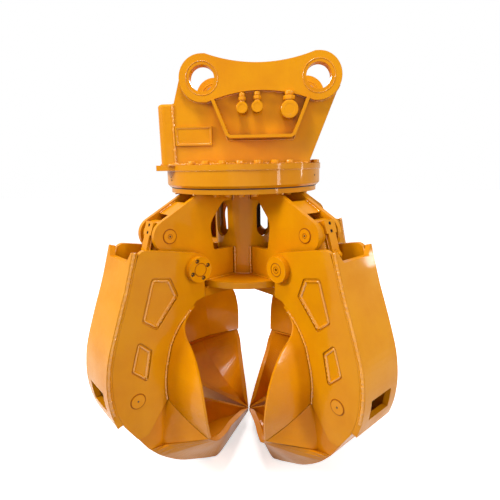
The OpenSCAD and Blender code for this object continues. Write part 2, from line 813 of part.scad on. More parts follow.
module upper_pins() {
    color(amber) for (i = [0:3]) on_arm(i) translate([upper_pin_r, 0, upper_pin_z]) pin_bar(upper_pin_d, arm_w);
}

// Tines

// Outer edge of a side plate, from its top down, as shares of grab_r and tine_top_z
outer_edge_shares = [[0.784, 0.984], [0.838, 0.855], [0.889, 0.753], [0.944, 0.633], [0.963, 0.559],
    [0.967, 0.491], [0.955, 0.419], [0.929, 0.356]];
edge_steps = 4;
outer_line = tine_pts(fine_rows(outer_edge_shares, edge_steps));
// The back plate ends one step above the end of that edge
back_line = [for (k = [0:len(outer_line) - 2]) outer_line[k]];
// Where the inner edge of a side plate starts above the shell
inner_top_share = [0.472, 0.756];
// Corners of a side plate: shares of grab_r, tine_top_z and, for the radius, tine_w
top_corner_shares = [[0.415, 0.765, 0], [0.415, 0.812, 0.05], [0.413, 0.942, 0.25], [0.775, 0.995, 0.16]];
low_corner_shares = [[0.864, 0.279, 0.11], [0.807, 0.277, 0.11]];
// The two pressed panels
upper_panel_shares = [[0.619, 0.872, 0.06], [0.724, 0.888, 0.06], [0.795, 0.732, 0.06],
    [0.716, 0.684, 0.06], [0.579, 0.797, 0.06]];
lower_panel_shares = [[0.820, 0.667, 0.05], [0.870, 0.553, 0.05], [0.787, 0.493, 0.05], [0.749, 0.615, 0.05]];

// The side plate's inner edge is the back face of the shell, down to where the gusset starts
function side_corners() = concat(tine_corners(top_corner_shares),
    [for (p = outer_line) if (p[1] < tine_top_z * 0.96) [p[0], p[1], 0]],
    tine_corners(low_corner_shares),
    [for (k = [gusset_station * shell_steps:-1:0]) [shell_line[k][0], shell_line[k][1], 0]],
    [[inner_top_share[0] * grab_r, inner_top_share[1] * tine_top_z, 0]]);

tine_boss_r = 62;

module side_outline() {
    polygon(rounded(side_corners()));
    translate([tine_pin_r, tine_pin_z]) circle(r = tine_boss_r);
}

eye_boss_d = 96;

module tine_sides(i) {
    eye_boss_t = tine_in - rod_eye_w / 2 - side_play;
    color(orange) on_arm(i) for (side = [-1, 1]) difference() {
        union() {
            slab(side > 0 ? tine_in : -tine_w / 2, side_t) side_outline();
            translate([lower_pin_r, 0, lower_pin_z])
                bar_y(eye_boss_d, side > 0 ? tine_in - eye_boss_t : -tine_in,
                    side > 0 ? tine_in : -tine_in + eye_boss_t);
        }
        slab(side > 0 ? tine_w / 2 - panel_depth : -tine_w / 2 - over, panel_depth + over) {
            polygon(rounded(tine_corners(upper_panel_shares)));
            polygon(rounded(tine_corners(lower_panel_shares)));
        }
        translate([tine_pin_r, 0, tine_pin_z]) bar_y(tine_pin_d + 2 * fit, -tine_w, tine_w);
        translate([lower_pin_r, 0, lower_pin_z]) bar_y(lower_pin_d + 2 * fit, -tine_w, tine_w);
    }
}

// Back plate with a notch at its top for the cylinder and a window at the lower pin
notch_depth = 44;
notch_top_w = 205;
notch_bottom_w = 150;
back_window_w = 126;
back_window_rises = [-20, 60];

module tine_back(i) {
    top_z = outer_line[0][1] + back_t / 2;
    color(orange) on_arm(i) difference() {
        slab(-tine_w / 2 + fit, tine_w - 2 * fit) polygon(band(beside(back_line, run), back_t));
        translate([outer_line[0][0] - grab_r / 4, 0, top_z]) rotate([90, 0, 90]) linear_extrude(grab_r / 2) {
            polygon([[-notch_top_w / 2, over], [-notch_bottom_w / 2, -notch_depth],
                [notch_bottom_w / 2, -notch_depth], [notch_top_w / 2, over]]);
        }
        translate([lower_pin_r, -back_window_w / 2, lower_pin_z + back_window_rises[0]])
            cube([grab_r / 2, back_window_w, back_window_rises[1] - back_window_rises[0]]);
    }
}

// Shell: stations down the tine, [share of grab_r, share of tine_top_z, half width as share of wing_w,
// draw-in of the wing tip as share of wing_w]
shell_shares = [[0.491, 0.7426, 0.342, 0], [0.527, 0.718, 0.342, 0], [0.573, 0.687, 0.377, 0.015],
    [0.608, 0.654, 0.463, 0.045], [0.639, 0.614, 0.655, 0.085], [0.660, 0.566, 0.805, 0.105],
    [0.679, 0.508, 0.927, 0.120], [0.687, 0.450, 0.984, 0.128], [0.684, 0.392, 1, 0.134],
    [0.673, 0.337, 0.968, 0.147], [0.656, 0.279, 0.917, 0.160]];
shell_steps = 4;
shell_rows = fine_rows(shell_shares, shell_steps);
shell_line = tine_pts(shell_rows);
shell_last = len(shell_rows) - 1;
gusset_station = 8;

// Columns across the shell: 0 at the centre, 1 at the side plate, 2 at the wing tip
shell_columns = [-2, -1.5, -1, 0, 1, 1.5, 2];
shell_flat_w = tine_w / 2 - side_t / 2;

function shell_half_w(i) = shell_rows[i][2] * wing_w;

// A point on the back face of the shell at station i and column c, sunk by d towards the load
function shell_pt(i, c, d) =
    let(s = shell_rows[i], u = abs(c),
        t = u <= 1 ? u * shell_flat_w : shell_flat_w + (u - 1) * (shell_half_w(i) - shell_flat_w),
        draw = u <= 1 ? 0 : (u - 1) * s[3] * wing_w,
        n = line_normal(shell_line, i))
    [s[0] * grab_r - draw + d * n[0], sign(c) * t, s[1] * tine_top_z + d * n[1]];

// The shell between two distances from its back face
module shell_body(d0, d1) {
    loft([for (k = [0:shell_last]) concat([for (c = shell_columns) shell_pt(k, c, d0)],
        [for (j = [len(shell_columns) - 1:-1:0]) shell_pt(k, shell_columns[j], d1)])], true);
}

module tine_shell(i) {
    color(amber) on_arm(i) shell_body(-2 * run, -shell_t);
}

// Back face of the shell at height z and half width t
function shell_station(z) = lookup(-z, [for (i = [0:shell_last]) [-shell_line[i][1], i]]);
function shell_back_r(z, t) =
    let(f = shell_station(z), i = min(floor(f), shell_last - 1), g = f - i,
        w = shell_half_w(i) * (1 - g) + shell_half_w(i + 1) * g,
        r = shell_line[i][0] * (1 - g) + shell_line[i + 1][0] * g,
        b = (shell_rows[i][3] * (1 - g) + shell_rows[i + 1][3] * g) * wing_w)
    r - (t <= shell_flat_w ? 0 : b * (t - shell_flat_w) / (w - shell_flat_w));

// Scoop: stations from the heel to the tip. The keel edge is in shares of grab_r, tine_top_z and
// keel_w, and the other edges in shares of grab_r, tine_top_z and wing_w. The ridge is the edge
// between the gusset and the keel side.
keel_shares = [[0.929, 0.356, 1], [0.878, 0.297, 1], [0.812, 0.217, 1], [0.811, 0.216, 1],
    [0.737, 0.153, 1], [0.627, 0.089, 1], [0.512, 0.046, 0.99], [0.415, 0.012, 0.962],
    [0.349, 0, 0.903], [0.200, 0.030, 0.564], [0.011, 0.058, 0.038]];
ridge_shares = [[0.6845, 0.396, 0.319], [0.707, 0.301, 0.319], [0.729, 0.206, 0.325], [0.728, 0.205, 0.328]];
lip_shares = [[0.6845, 0.396, 0.319], [0.668, 0.337, 0.607], [0.590, 0.279, 0.910], [0.5895, 0.2775, 0.912],
    [0.529, 0.238, 0.856], [0.483, 0.214, 0.786], [0.435, 0.195, 0.706], [0.367, 0.178, 0.597],
    [0.299, 0.164, 0.482], [0.147, 0.118, 0.240], [0.011, 0.073, 0.014]];
floor_share = 0.3;
heel_stations = 3;
heel_steps = 3;
scoop_steps = 4;
scoop_last = len(keel_shares) - 1;
scoop_stations = concat([for (k = [0:(heel_stations - 1) * heel_steps]) k / heel_steps],
    [for (k = [0:(scoop_last - heel_stations) * scoop_steps]) heel_stations + k / scoop_steps]);

// Row of a scoop table at station f. The heel and the rest of the scoop are smooth by themselves.
function scoop_row(t, f) = f < heel_stations ? smooth(t, 0, heel_stations - 1, f)
    : smooth(t, heel_stations, scoop_last, f);

function scoop_pt(s, w) = [s[0] * grab_r, s[2] * w, s[1] * tine_top_z];

// Right half of one ring of the scoop: keel, ridge, lip, inside of the lip, side of the floor
function scoop_half(f) =
    let(b = scoop_pt(scoop_row(keel_shares, f), keel_w), l0 = scoop_pt(scoop_row(lip_shares, f), wing_w),
        heel = f < heel_stations,
        l = heel && f > 0 ? [shell_back_r(l0[2], l0[1]) + run, l0[1], l0[2]] : l0,
        rib = scoop_pt(heel ? scoop_row(ridge_shares, f) : ridge_shares[heel_stations], wing_w),
        fade = heel ? 0 : min(f - heel_stations, 1),
        m = rib * (1 - fade) + (b * 0.6 + l * 0.4) * fade,
        in_w = max(l[1] - lip_t, l[1] * 0.35),
        floor_w = min(heel ? shell_flat_w : b[1] * 0.8, in_w * 0.9),
        rise = max(floor_share, f - scoop_last + 1),
        floor_z = b[2] + (l[2] - b[2]) * rise,
        floor_r = b[0] + (l[0] - b[0]) * rise)
    heel ? [b, m, l, [shell_back_r(l[2], in_w) + run, in_w, l[2]],
        [shell_back_r(l[2], floor_w) + run, floor_w, l[2]]]
    : f == heel_stations ? [b, m, l, [shell_back_r(l[2], in_w) - shell_t, in_w, l[2]],
        [shell_back_r(l[2], floor_w) - shell_t, floor_w, l[2]]]
    : [b, m, l, [l[0], in_w, l[2]], [floor_r, floor_w, floor_z]];

function scoop_ring(f) =
    let(h = scoop_half(f), n = len(h))
    concat(h, [for (j = [n - 1:-1:0]) [h[j][0], -h[j][1], h[j][2]]]);

module tine_scoop(i) {
    color(orange) on_arm(i) difference() {
        loft([for (f = scoop_stations) scoop_ring(f)], false);
        for (side = [-1, 1]) slab(side > 0 ? tine_in : -tine_w / 2, side_t) side_outline();
        shell_body(run, -2 * shell_t);
    }
}

// Tine pin with its two round caps, the cap bolts, and the lower cylinder pin
cap_step = 4;
cap_ring_d = 54;

module tine_pins(i) {
    reach = tine_w / 2;
    head = cap_bolt_d * 1.5;
    color(amber) on_arm(i) translate([tine_pin_r, 0, tine_pin_z]) {
        bar_y(tine_pin_d, -reach, reach);
        difference() {
            bar_y(cap_d, reach, reach + cap_t);
            for (k = [0:3]) rotate([0, 20 + 90 * k, 0]) translate([cap_d / 2 * cap_bolt_circle_share, 0, 0])
                bar_y(head, reach + cap_t - cap_bolt_d, reach + cap_t + over);
            difference() {
                bar_y(cap_ring_d, reach + cap_t - over, reach + cap_t + over);
                bar_y(cap_ring_d - cap_step, reach + cap_t - 2 * over, reach + cap_t + over);
            }
        }
        for (k = [0:3]) rotate([0, 20 + 90 * k, 0]) translate([cap_d / 2 * cap_bolt_circle_share, 0, 0])
            bar_y(head - 2 * run, reach + cap_t - cap_bolt_d, reach + cap_t - cap_bolt_d / 2);
        difference() {
            bar_y(cap_d, -reach - cap_t, -reach);
            difference() {
                bar_y(cap_ring_d, -reach - cap_t - over, -reach - cap_t + over);
                bar_y(cap_ring_d - cap_step, -reach - cap_t - over, -reach - cap_t + 2 * over);
            }
            bar_y(cap_bolt_d, -reach - cap_t - over, -reach - cap_t + cap_bolt_d);
        }
    }
    color(amber) on_arm(i) translate([lower_pin_r, 0, lower_pin_z]) pin_bar(lower_pin_d, tine_w);
}

// Cylinders, drawn with the upper pin at the origin and the rod down along -Z

eye_d = 112;
eye_w = 2 * (arm_in - side_play);
barrel_top = 100;
barrel_neck_gap = 3;
head_t = 20;
gland_t = 28;
gland_d = 112;
piston_t = 42;
rod_eye_w = 90;
rod_eye_wall = 15;
rod_eye_r = lower_pin_d / 2 + eye_play + rod_eye_wall;
rod_sink = rod_eye_wall * 0.7;
piston_gap = 10;

// Oil duct along the barrel's outer side, with a head block at the eye and a fitting's boss at its foot
duct_w = 42;
duct_shift = 10;
duct_rise = 14;
duct_top = 6;
duct_foot = 118;
duct_block_w = 60;
duct_block_h = [-12, 40];
duct_bolt_d = 14;
stub_drop = 96;
stub_d = 42;
stub_reach = 5;
stub_bore_d = 22;
stub_bore_depth = 14;

module on_cylinder(i) {
    on_arm(i) translate([upper_pin_r, 0, upper_pin_z]) rotate([0, -cyl_a, 0]) children();
}

module oil_duct() {
    face = barrel_d / 2 + duct_rise;
    translate([barrel_bore_d / 2 + duct_rise / 2, duct_shift - duct_w / 2, -duct_foot])
        cube([face - barrel_bore_d / 2 - duct_rise / 2, duct_w, duct_foot + duct_top]);
    translate([eye_d * 0.3, duct_shift - duct_block_w / 2, duct_block_h[0]])
        cube([face - eye_d * 0.3, duct_block_w, duct_block_h[1] - duct_block_h[0]]);
    translate([face - duct_rise, duct_shift, -stub_drop]) rotate([0, 90, 0])
        cylinder(d = stub_d, h = stub_reach + duct_rise);
}

module duct_holes() {
    face = barrel_d / 2 + duct_rise;
    for (z = [duct_block_h[0] * 0.3, duct_block_h[1] * 0.65])
        translate([face - duct_bolt_d / 2, duct_shift, z]) rotate([0, 90, 0])
            cylinder(d = duct_bolt_d, h = duct_bolt_d);
    translate([face + stub_reach - stub_bore_depth, duct_shift, -stub_drop]) rotate([0, 90, 0])
        cylinder(d = stub_bore_d, h = stub_bore_depth + over);
}

module barrel(i) {
    body_len = barrel_len - barrel_top;
    color(orange) on_cylinder(i) difference() {
        union() {
            oil_duct();
            bar_y(eye_d, -eye_w / 2, eye_w / 2);
            translate([0, 0, -barrel_top]) cylinder(r = arm_in - barrel_neck_gap, h = barrel_top);
            translate([0, 0, -barrel_len]) cylinder(d = barrel_d, h = body_len);
            translate([0, 0, -barrel_len]) cylinder(d = gland_d, h = gland_t);
        }
        bar_y(upper_pin_d + 2 * fit, -eye_w, eye_w);
        translate([0, 0, -barrel_len + gland_t]) cylinder(d = barrel_bore_d, h = body_len - gland_t - head_t);
        translate([0, 0, -barrel_len - over]) cylinder(d = rod_d + 4 * fit, h = gland_t + 2 * over);
        duct_holes();
    }
}

module rod(i) {
    piston_z = -barrel_len + gland_t + piston_gap;
    foot_z = -cyl_len + rod_eye_r - rod_sink;
    color(steel) on_cylinder(i) {
        translate([0, 0, foot_z]) cylinder(d = rod_d, h = piston_z - foot_z);
        translate([0, 0, piston_z]) cylinder(d = barrel_bore_d - 4 * fit, h = piston_t);
        translate([0, 0, -cyl_len]) difference() {
            bar_y(2 * rod_eye_r, -rod_eye_w / 2, rod_eye_w / 2);
            bar_y(lower_pin_d + 2 * eye_play, -rod_eye_w, rod_eye_w);
        }
    }
}

front_ear_plate();
rear_ear_plate();
saddle_plates();
ear_bushes();
bracket_web();
motor_cover();
head_flange();
flange_bolts();
port_guard();
oil_ports();
name_plate();
bearing_housing();
outer_race();
slew_balls();
slew_motor();
swivel_stem();
slew_seal();
drive_pinion();
gear_race();
lower_ring();
ring_bolts();
centre_tube();
swivel_housing();
arm(0);  // arm_1
arm(1);  // arm_2
arm(2);  // arm_3
arm(3);  // arm_4
arm_covers();
bottom_disc();
stop_ribs();
upper_pins();
tine_sides(0);  // tine_1_sides
tine_back(0);  // tine_1_back
tine_shell(0);  // tine_1_shell
tine_scoop(0);  // tine_1_scoop
tine_pins(0);  // tine_1_pins
tine_sides(1);  // tine_2_sides
tine_back(1);  // tine_2_back
tine_shell(1);  // tine_2_shell
tine_scoop(1);  // tine_2_scoop
tine_pins(1);  // tine_2_pins
tine_sides(2);  // tine_3_sides
tine_back(2);  // tine_3_back
tine_shell(2);  // tine_3_shell
tine_scoop(2);  // tine_3_scoop
tine_pins(2);  // tine_3_pins
tine_sides(3);  // tine_4_sides
tine_back(3);  // tine_4_back
tine_shell(3);  // tine_4_shell
tine_scoop(3);  // tine_4_scoop
tine_pins(3);  // tine_4_pins
barrel(0);  // barrel_1
rod(0);  // rod_1
barrel(1);  // barrel_2
rod(1);  // rod_2
barrel(2);  // barrel_3
rod(2);  // rod_3
barrel(3);  // barrel_4
rod(3);  // rod_4
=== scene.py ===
"""Looks of the orange peel grab: enamel paint, weld beads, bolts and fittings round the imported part.

Everything is in metres in the part's own frame. Lengths written in mm are turned by the MM value.
Arm, tine and cylinder pieces are modelled once for arm 1 and copied to the other three arms.
"""
import json
import math

import bpy
from mathutils import Matrix, Vector, noise


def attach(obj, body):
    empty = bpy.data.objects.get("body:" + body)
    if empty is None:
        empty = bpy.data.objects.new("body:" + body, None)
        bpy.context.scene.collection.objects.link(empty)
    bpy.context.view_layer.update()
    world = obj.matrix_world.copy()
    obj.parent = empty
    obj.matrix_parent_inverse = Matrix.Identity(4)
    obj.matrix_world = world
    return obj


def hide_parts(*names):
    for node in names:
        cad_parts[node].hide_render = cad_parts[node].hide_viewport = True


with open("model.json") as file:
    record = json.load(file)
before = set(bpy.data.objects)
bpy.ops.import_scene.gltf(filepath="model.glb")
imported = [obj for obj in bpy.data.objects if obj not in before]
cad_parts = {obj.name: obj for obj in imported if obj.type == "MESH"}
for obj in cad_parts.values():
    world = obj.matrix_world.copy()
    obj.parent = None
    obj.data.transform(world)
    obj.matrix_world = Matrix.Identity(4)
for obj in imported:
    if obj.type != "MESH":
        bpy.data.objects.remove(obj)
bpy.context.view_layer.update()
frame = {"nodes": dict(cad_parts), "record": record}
nodes = frame["nodes"]
bpy.ops.object.select_all(action="DESELECT")

MM = 0.001
ARM_TURN = math.radians(-137.88)
QUARTERS = (1, 2, 3, 4)

# Places of the part that the pieces below sit on, in mm
DECK_Z = 1327
HOUSING_R = 342
HOUSING_TOP_Z = DECK_Z - 22.5
BUSH_R = 61
EAR_OUT = 215
EAR_IN = 190
EAR_FACE = 235
EAR_X = (-142.5, 302.5)
EAR_Z = 1648
EAR_BOSS_R = 87.5
SADDLE_X = 80
SADDLE_DIP = 47.5
SADDLE_R = 551.3
COVER_X = -264
COVER_END_X = -328
COVER_TOP_Z = 1562
RIGHT_FOOT_X = 266.5
PORT_GUARD = ((-107.5, 1567), (-50, 1418), (210, 1418), (267.5, 1567))
RING_Z = 1212
RING_R = 326
TUBE_R = 136
TUBE_HOLE_LOW_Z = 972
TUBE_HOLE_TOP_Z = 1178
DISC_Z = 848
DISC_T = 28
DISC_R = 280
ARM_W = 135.4
ARM_T = 20
TINE_PIN = (342.7, 919)
UPPER_PIN = (434.7, 1058)
LOWER_PIN = (636, 452)
TINE_W = 214.4
SIDE_T = 20
CAP_D = 106
CAP_T = 24.8
LOWER_RING_R = 29
BOLT_SIZE = 16
BOLT_COUNT = 30
FLANGE_BOLT_R = HOUSING_R - 17
RING_BOLT_R = 256.2


# Camera at the photograph's viewing angle

CAMERA_PLACE = Vector((0.0761, -1.8033, 1.327))
CAMERA_PAN = -0.0298
CAMERA_PITCH = 0.2196
CAMERA_ROLL = -0.0193
CAMERA_LENS_MM = 27.79


def add_camera():
    pan, pitch, roll = CAMERA_PAN, CAMERA_PITCH, CAMERA_ROLL
    ahead = Vector((math.sin(pan) * math.cos(pitch), math.cos(pan) * math.cos(pitch), -math.sin(pitch)))
    level = Vector((math.cos(pan), -math.sin(pan), 0))
    upright = level.cross(ahead)
    right = level * math.cos(roll) + upright * math.sin(roll)
    up = upright * math.cos(roll) - level * math.sin(roll)
    turn = Matrix((right, up, -ahead)).transposed().to_4x4()
    bpy.ops.object.camera_add()
    camera = bpy.context.object
    camera.name = "camera"
    camera.matrix_world = Matrix.Translation(CAMERA_PLACE) @ turn
    camera.data.lens = CAMERA_LENS_MM
    camera.data.sensor_width = 36
    camera.data.clip_end = 60
    bpy.context.scene.camera = camera


add_camera()


# Materials

class Recipe:
    """Short way to add and link the nodes of one node tree."""

    def __init__(self, tree):
        self.tree = tree

    def add(self, kind, values=None, **settings):
        made = self.tree.nodes.new(kind)
        for key, value in settings.items():
            setattr(made, key, value)
        for key, value in (values or {}).items():
            if isinstance(value, bpy.types.NodeSocket):
                self.tree.links.new(value, made.inputs[key])
            else:
                made.inputs[key].default_value = value
        return made

    def link(self, out, into):
        self.tree.links.new(out, into)

    def noise(self, place, scale, detail=3.0, rough=0.5):
        values = {"Vector": place, "Scale": scale, "Detail": detail, "Roughness": rough}
        made = self.add("ShaderNodeTexNoise", values)
        return made.outputs["Fac"]

    def ramp(self, value, low, high, out_low=0.0, out_high=1.0):
        made = self.add("ShaderNodeMapRange", {"Value": value, "From Min": low, "From Max": high,
                                               "To Min": out_low, "To Max": out_high})
        return made.outputs["Result"]

    def mix(self, share, a, b):
        made = self.add("ShaderNodeMix", data_type="RGBA")
        for key, value in ((0, share), (6, a), (7, b)):
            if isinstance(value, bpy.types.NodeSocket):
                self.link(value, made.inputs[key])
            else:
                made.inputs[key].default_value = value
        return made.outputs[2]

    def math(self, operation, a, b=0.0):
        made = self.add("ShaderNodeMath", {0: a, 1: b}, operation=operation)
        return made.outputs[0]


def new_group(name, inputs, outputs):
    group = bpy.data.node_groups.new(name, "ShaderNodeTree")
    for label, kind, value in inputs:
        socket = group.interface.new_socket(label, in_out="INPUT", socket_type=kind)
        if value is not None:
            socket.default_value = value
    for label, kind in outputs:
        group.interface.new_socket(label, in_out="OUTPUT", socket_type=kind)
    recipe = Recipe(group)
    return recipe, recipe.add("NodeGroupInput"), recipe.add("NodeGroupOutput")


def enamel_group():
    """Thick sprayed enamel: slow shifts of colour, dust, runs down upright plates and a dimpled skin.

    The colour is darkened in inner corners and creases by ambient occlusion: painted shade.
    """
    r, given, out = new_group(
        "sprayed_enamel",
        [("Place", "NodeSocketVector", None), ("Paint", "NodeSocketColor", (0.7, 0.25, 0.01, 1)),
         ("Shade", "NodeSocketColor", (0.4, 0.1, 0.01, 1)), ("Shade Amount", "NodeSocketFloat", 0.3),
         ("Gloss Roughness", "NodeSocketFloat", 0.3), ("Skin", "NodeSocketFloat", 0.2),
         ("Edge Radius", "NodeSocketFloat", 0.002)],
        [("Color", "NodeSocketColor"), ("Roughness", "NodeSocketFloat"), ("Normal", "NodeSocketVector")])
    place = given.outputs["Place"]
    slow = r.noise(place, 2.6, 2.0)
    cloud = r.noise(place, 9.0, 4.0, 0.6)
    shade = r.math("MULTIPLY", r.ramp(r.math("ADD", slow, cloud), 0.85, 1.25), given.outputs["Shade Amount"])
    color = r.mix(shade, given.outputs["Paint"], given.outputs["Shade"])
    tall = r.add("ShaderNodeMapping", {"Vector": place, "Scale": (1.0, 1.0, 0.07)}).outputs["Vector"]
    run_mask = r.ramp(r.noise(tall, 55.0, 2.0), 0.56, 0.72)
    warm = r.mix(0.35, given.outputs["Paint"], (1.0, 0.50, 0.02, 1))
    color = r.mix(r.math("MULTIPLY", run_mask, 0.07), color, warm)
    specks = r.ramp(r.noise(place, 150.0, 2.0), 0.66, 0.78)
    color = r.mix(r.math("MULTIPLY", specks, 0.12), color, (0.28, 0.11, 0.02, 1))
    # Ambient occlusion darkens the colour towards dark red-brown in inner corners, creases and hollows:
    # painted shade.
    painted_shade_ao = r.add("ShaderNodeAmbientOcclusion", {"Distance": 0.05}, samples=4).outputs["AO"]
    color = r.mix(r.ramp(painted_shade_ao, 0.10, 0.65, 0.70, 0.0), color, (0.20, 0.036, 0.001, 1))
    r.link(color, out.inputs["Color"])
    rough = r.math("ADD", given.outputs["Gloss Roughness"], r.ramp(cloud, 0.35, 0.7, -0.05, 0.12))
    r.link(r.math("ADD", rough, r.math("MULTIPLY", specks, 0.15)), out.inputs["Roughness"])
    edge = r.add("ShaderNodeBevel", {"Radius": given.outputs["Edge Radius"]}, samples=4)
    dimples = r.math("MULTIPLY", r.noise(place, 420.0, 1.0), 0.55)
    runs = r.math("MULTIPLY", run_mask, 0.15)
    waves = r.math("MULTIPLY", r.noise(place, 60.0, 3.0), 0.9)
    height = r.math("ADD", dimples, r.math("ADD", runs, waves))
    bump = r.add("ShaderNodeBump", {"Strength": given.outputs["Skin"], "Distance": 0.0015, "Height": height,
                                    "Normal": edge.outputs["Normal"]})
    r.link(bump.outputs["Normal"], out.inputs["Normal"])
    return r.tree


def metal_group():
    """Bare or plated metal: fine turning marks, smudges and a film of oil."""
    r, given, out = new_group(
        "worked_metal",
        [("Place", "NodeSocketVector", None), ("Metal", "NodeSocketColor", (0.6, 0.6, 0.6, 1)),
         ("Smudge", "NodeSocketColor", (0.2, 0.17, 0.14, 1)), ("Smudge Amount", "NodeSocketFloat", 0.3),
         ("Base Roughness", "NodeSocketFloat", 0.3), ("Marks", "NodeSocketFloat", 0.1)],
        [("Color", "NodeSocketColor"), ("Roughness", "NodeSocketFloat"), ("Normal", "NodeSocketVector")])
    place = given.outputs["Place"]
    patch = r.noise(place, 24.0, 4.0, 0.65)
    smudge = r.math("MULTIPLY", r.ramp(patch, 0.48, 0.7), given.outputs["Smudge Amount"])
    r.link(r.mix(smudge, given.outputs["Metal"], given.outputs["Smudge"]), out.inputs["Color"])
    dulled = r.math("MULTIPLY", smudge, 0.4)
    r.link(r.math("ADD", given.outputs["Base Roughness"], dulled), out.inputs["Roughness"])
    lines = r.add("ShaderNodeMapping", {"Vector": place, "Scale": (1.0, 1.0, 14.0)}).outputs["Vector"]
    height = r.math("ADD", r.noise(lines, 90.0, 2.0), r.math("MULTIPLY", r.noise(place, 500.0, 1.0), 0.4))
    bump = r.add("ShaderNodeBump", {"Strength": given.outputs["Marks"], "Distance": 0.0006, "Height": height})
    r.link(bump.outputs["Normal"], out.inputs["Normal"])
    return r.tree


ENAMEL = enamel_group()
METAL = metal_group()


def finished(name, group, values, metallic=0.0, coat=0.0, coat_rough=0.1, specular=0.5):
    material = bpy.data.materials.new(name)
    material.use_nodes = True
    r = Recipe(material.node_tree)
    shader = material.node_tree.nodes["Principled BSDF"]
    place = r.add("ShaderNodeTexCoord").outputs["Object"]
    mixed = r.add("ShaderNodeGroup", node_tree=group)
    r.link(place, mixed.inputs["Place"])
    for key, value in values.items():
        mixed.inputs[key].default_value = value
    r.link(mixed.outputs["Color"], shader.inputs["Base Color"])
    r.link(mixed.outputs["Roughness"], shader.inputs["Roughness"])
    r.link(mixed.outputs["Normal"], shader.inputs["Normal"])
    shader.inputs["Metallic"].default_value = metallic
    shader.inputs["Coat Weight"].default_value = coat
    shader.inputs["Coat Roughness"].default_value = coat_rough
    shader.inputs["Specular IOR Level"].default_value = specular
    return material


def enamel(name, paint, shade, amount=0.3, gloss=0.3, skin=0.3, edge=0.003, coat=0.18, specular=0.06):
    return finished(name, ENAMEL, {"Paint": (*paint, 1), "Shade": (*shade, 1), "Shade Amount": amount,
                                   "Gloss Roughness": gloss, "Skin": skin, "Edge Radius": edge},
                    0.0, coat, 0.07, specular)


def metal(name, tone, smudge, amount=0.3, rough=0.3, marks=0.1, metallic=1.0):
    return finished(name, METAL, {"Metal": (*tone, 1), "Smudge": (*smudge, 1), "Smudge Amount": amount,
                                  "Base Roughness": rough, "Marks": marks}, metallic)


PAINT = (0.72, 0.280, 0.001)
PAINT_SHADE = (0.56, 0.150, 0.001)
FINISHES = {
    "orange_paint": enamel("orange_enamel", PAINT, PAINT_SHADE, 0.35, 0.33),
    "shell_paint": enamel("shell_enamel", (0.76, 0.285, 0.001), (0.56, 0.150, 0.001), 0.40, 0.24),
    "scoop_paint": enamel("scoop_enamel", (0.74, 0.262, 0.001), (0.52, 0.135, 0.001), 0.40, 0.34, 0.3, 0.004),
    "pin_paint": enamel("pin_enamel", (0.76, 0.29, 0.001), PAINT_SHADE, 0.25, 0.24, 0.15, 0.002),
    "barrel_paint": enamel("barrel_enamel", PAINT, PAINT_SHADE, 0.30, 0.30, 0.2, 0.002),
    "bolt_paint": enamel("bolt_enamel", (0.78, 0.30, 0.002), PAINT_SHADE, 0.25, 0.26, 0.15, 0.0015, 0.1, 0.2),
    "bush_steel": enamel("bush_enamel", (0.72, 0.26, 0.001), (0.38, 0.11, 0.002), 0.45, 0.32, 0.2, 0.0015),
    "bearing_steel": metal("bearing_steel", (0.58, 0.59, 0.61), (0.16, 0.12, 0.08), 0.25, 0.22),
    "cast_steel": metal("cast_housing", (0.045, 0.047, 0.052), (0.10, 0.07, 0.05), 0.35, 0.5, 0.4, 0.2),
    "seal_rubber": metal("seal_rubber", (0.012, 0.012, 0.012), (0.05, 0.045, 0.04), 0.3, 0.55, 0.15, 0.0),
    "rod_chrome": metal("rod_chrome", (0.76, 0.77, 0.79), (0.5, 0.46, 0.4), 0.12, 0.09, 0.03),
}
# Dark orange for thin rings that stand for turned grooves: painted shade of the grooves.
GROOVE_SHADE_PAINT = enamel("groove_shade_enamel", (0.40, 0.10, 0.001), (0.25, 0.055, 0.001), 0.3, 0.4, 0.2, 0.001, 0.1)
WELD_PAINT = enamel("weld_enamel", (0.77, 0.30, 0.001), (0.48, 0.13, 0.001), 0.35, 0.16, 0.5, 0.001, 0.5, 0.4)
DARK_STEEL = metal("dark_steel", (0.03, 0.026, 0.022), (0.10, 0.05, 0.02), 0.3, 0.42, 0.2, 0.7)

slot_of = {s["node"]: s.get("material_slot") for s in frame["record"]["subparts"]}
for name, node in nodes.items():
    node.data.materials.clear()
    node.data.materials.append(FINISHES[slot_of[name]])


# Placing, copying and joining pieces

def arm_place(arm):
    """Matrix from an arm's own frame (X outwards, Y across, Z up) to the part's frame."""
    return Matrix.Rotation(ARM_TURN + math.pi / 2 * (arm - 1), 4, "Z")


def arm_point(r, t, z):
    return arm_place(1) @ Vector((r * MM, t * MM, z * MM))


def settle(piece, name, finish, smooth=40):
    """Names a piece, gives it its finish and writes its place into its mesh."""
    piece.name = name
    piece.data.name = name
    piece.data.transform(piece.matrix_world)
    piece.matrix_world = Matrix.Identity(4)
    piece.data.materials.clear()
    piece.data.materials.append(finish)
    bpy.ops.object.select_all(action="DESELECT")
    piece.select_set(True)
    bpy.context.view_layer.objects.active = piece
    if smooth:
        bpy.ops.object.shade_smooth_by_angle(angle=math.radians(smooth))
    piece.select_set(False)
    return piece


def copy_of(piece, name, move):
    made = piece.copy()
    made.data = piece.data.copy()
    made.name = name
    made.data.name = name
    made.data.transform(move)
    bpy.context.scene.collection.objects.link(made)
    return made


def joined(pieces, name):
    bpy.ops.object.select_all(action="DESELECT")
    for piece in pieces:
        piece.select_set(True)
    bpy.context.view_layer.objects.active = pieces[0]
    bpy.ops.object.join()
    made = bpy.context.object
    made.name = name
    made.data.name = name
    bpy.ops.object.select_all(action="DESELECT")
    return made


def scattered(model, places, name):
    """One piece made of the model set at every place; the model itself is removed."""
    made = joined([copy_of(model, name + "_%d" % k, place) for k, place in enumerate(places)], name)
    bpy.data.objects.remove(model)
    return made


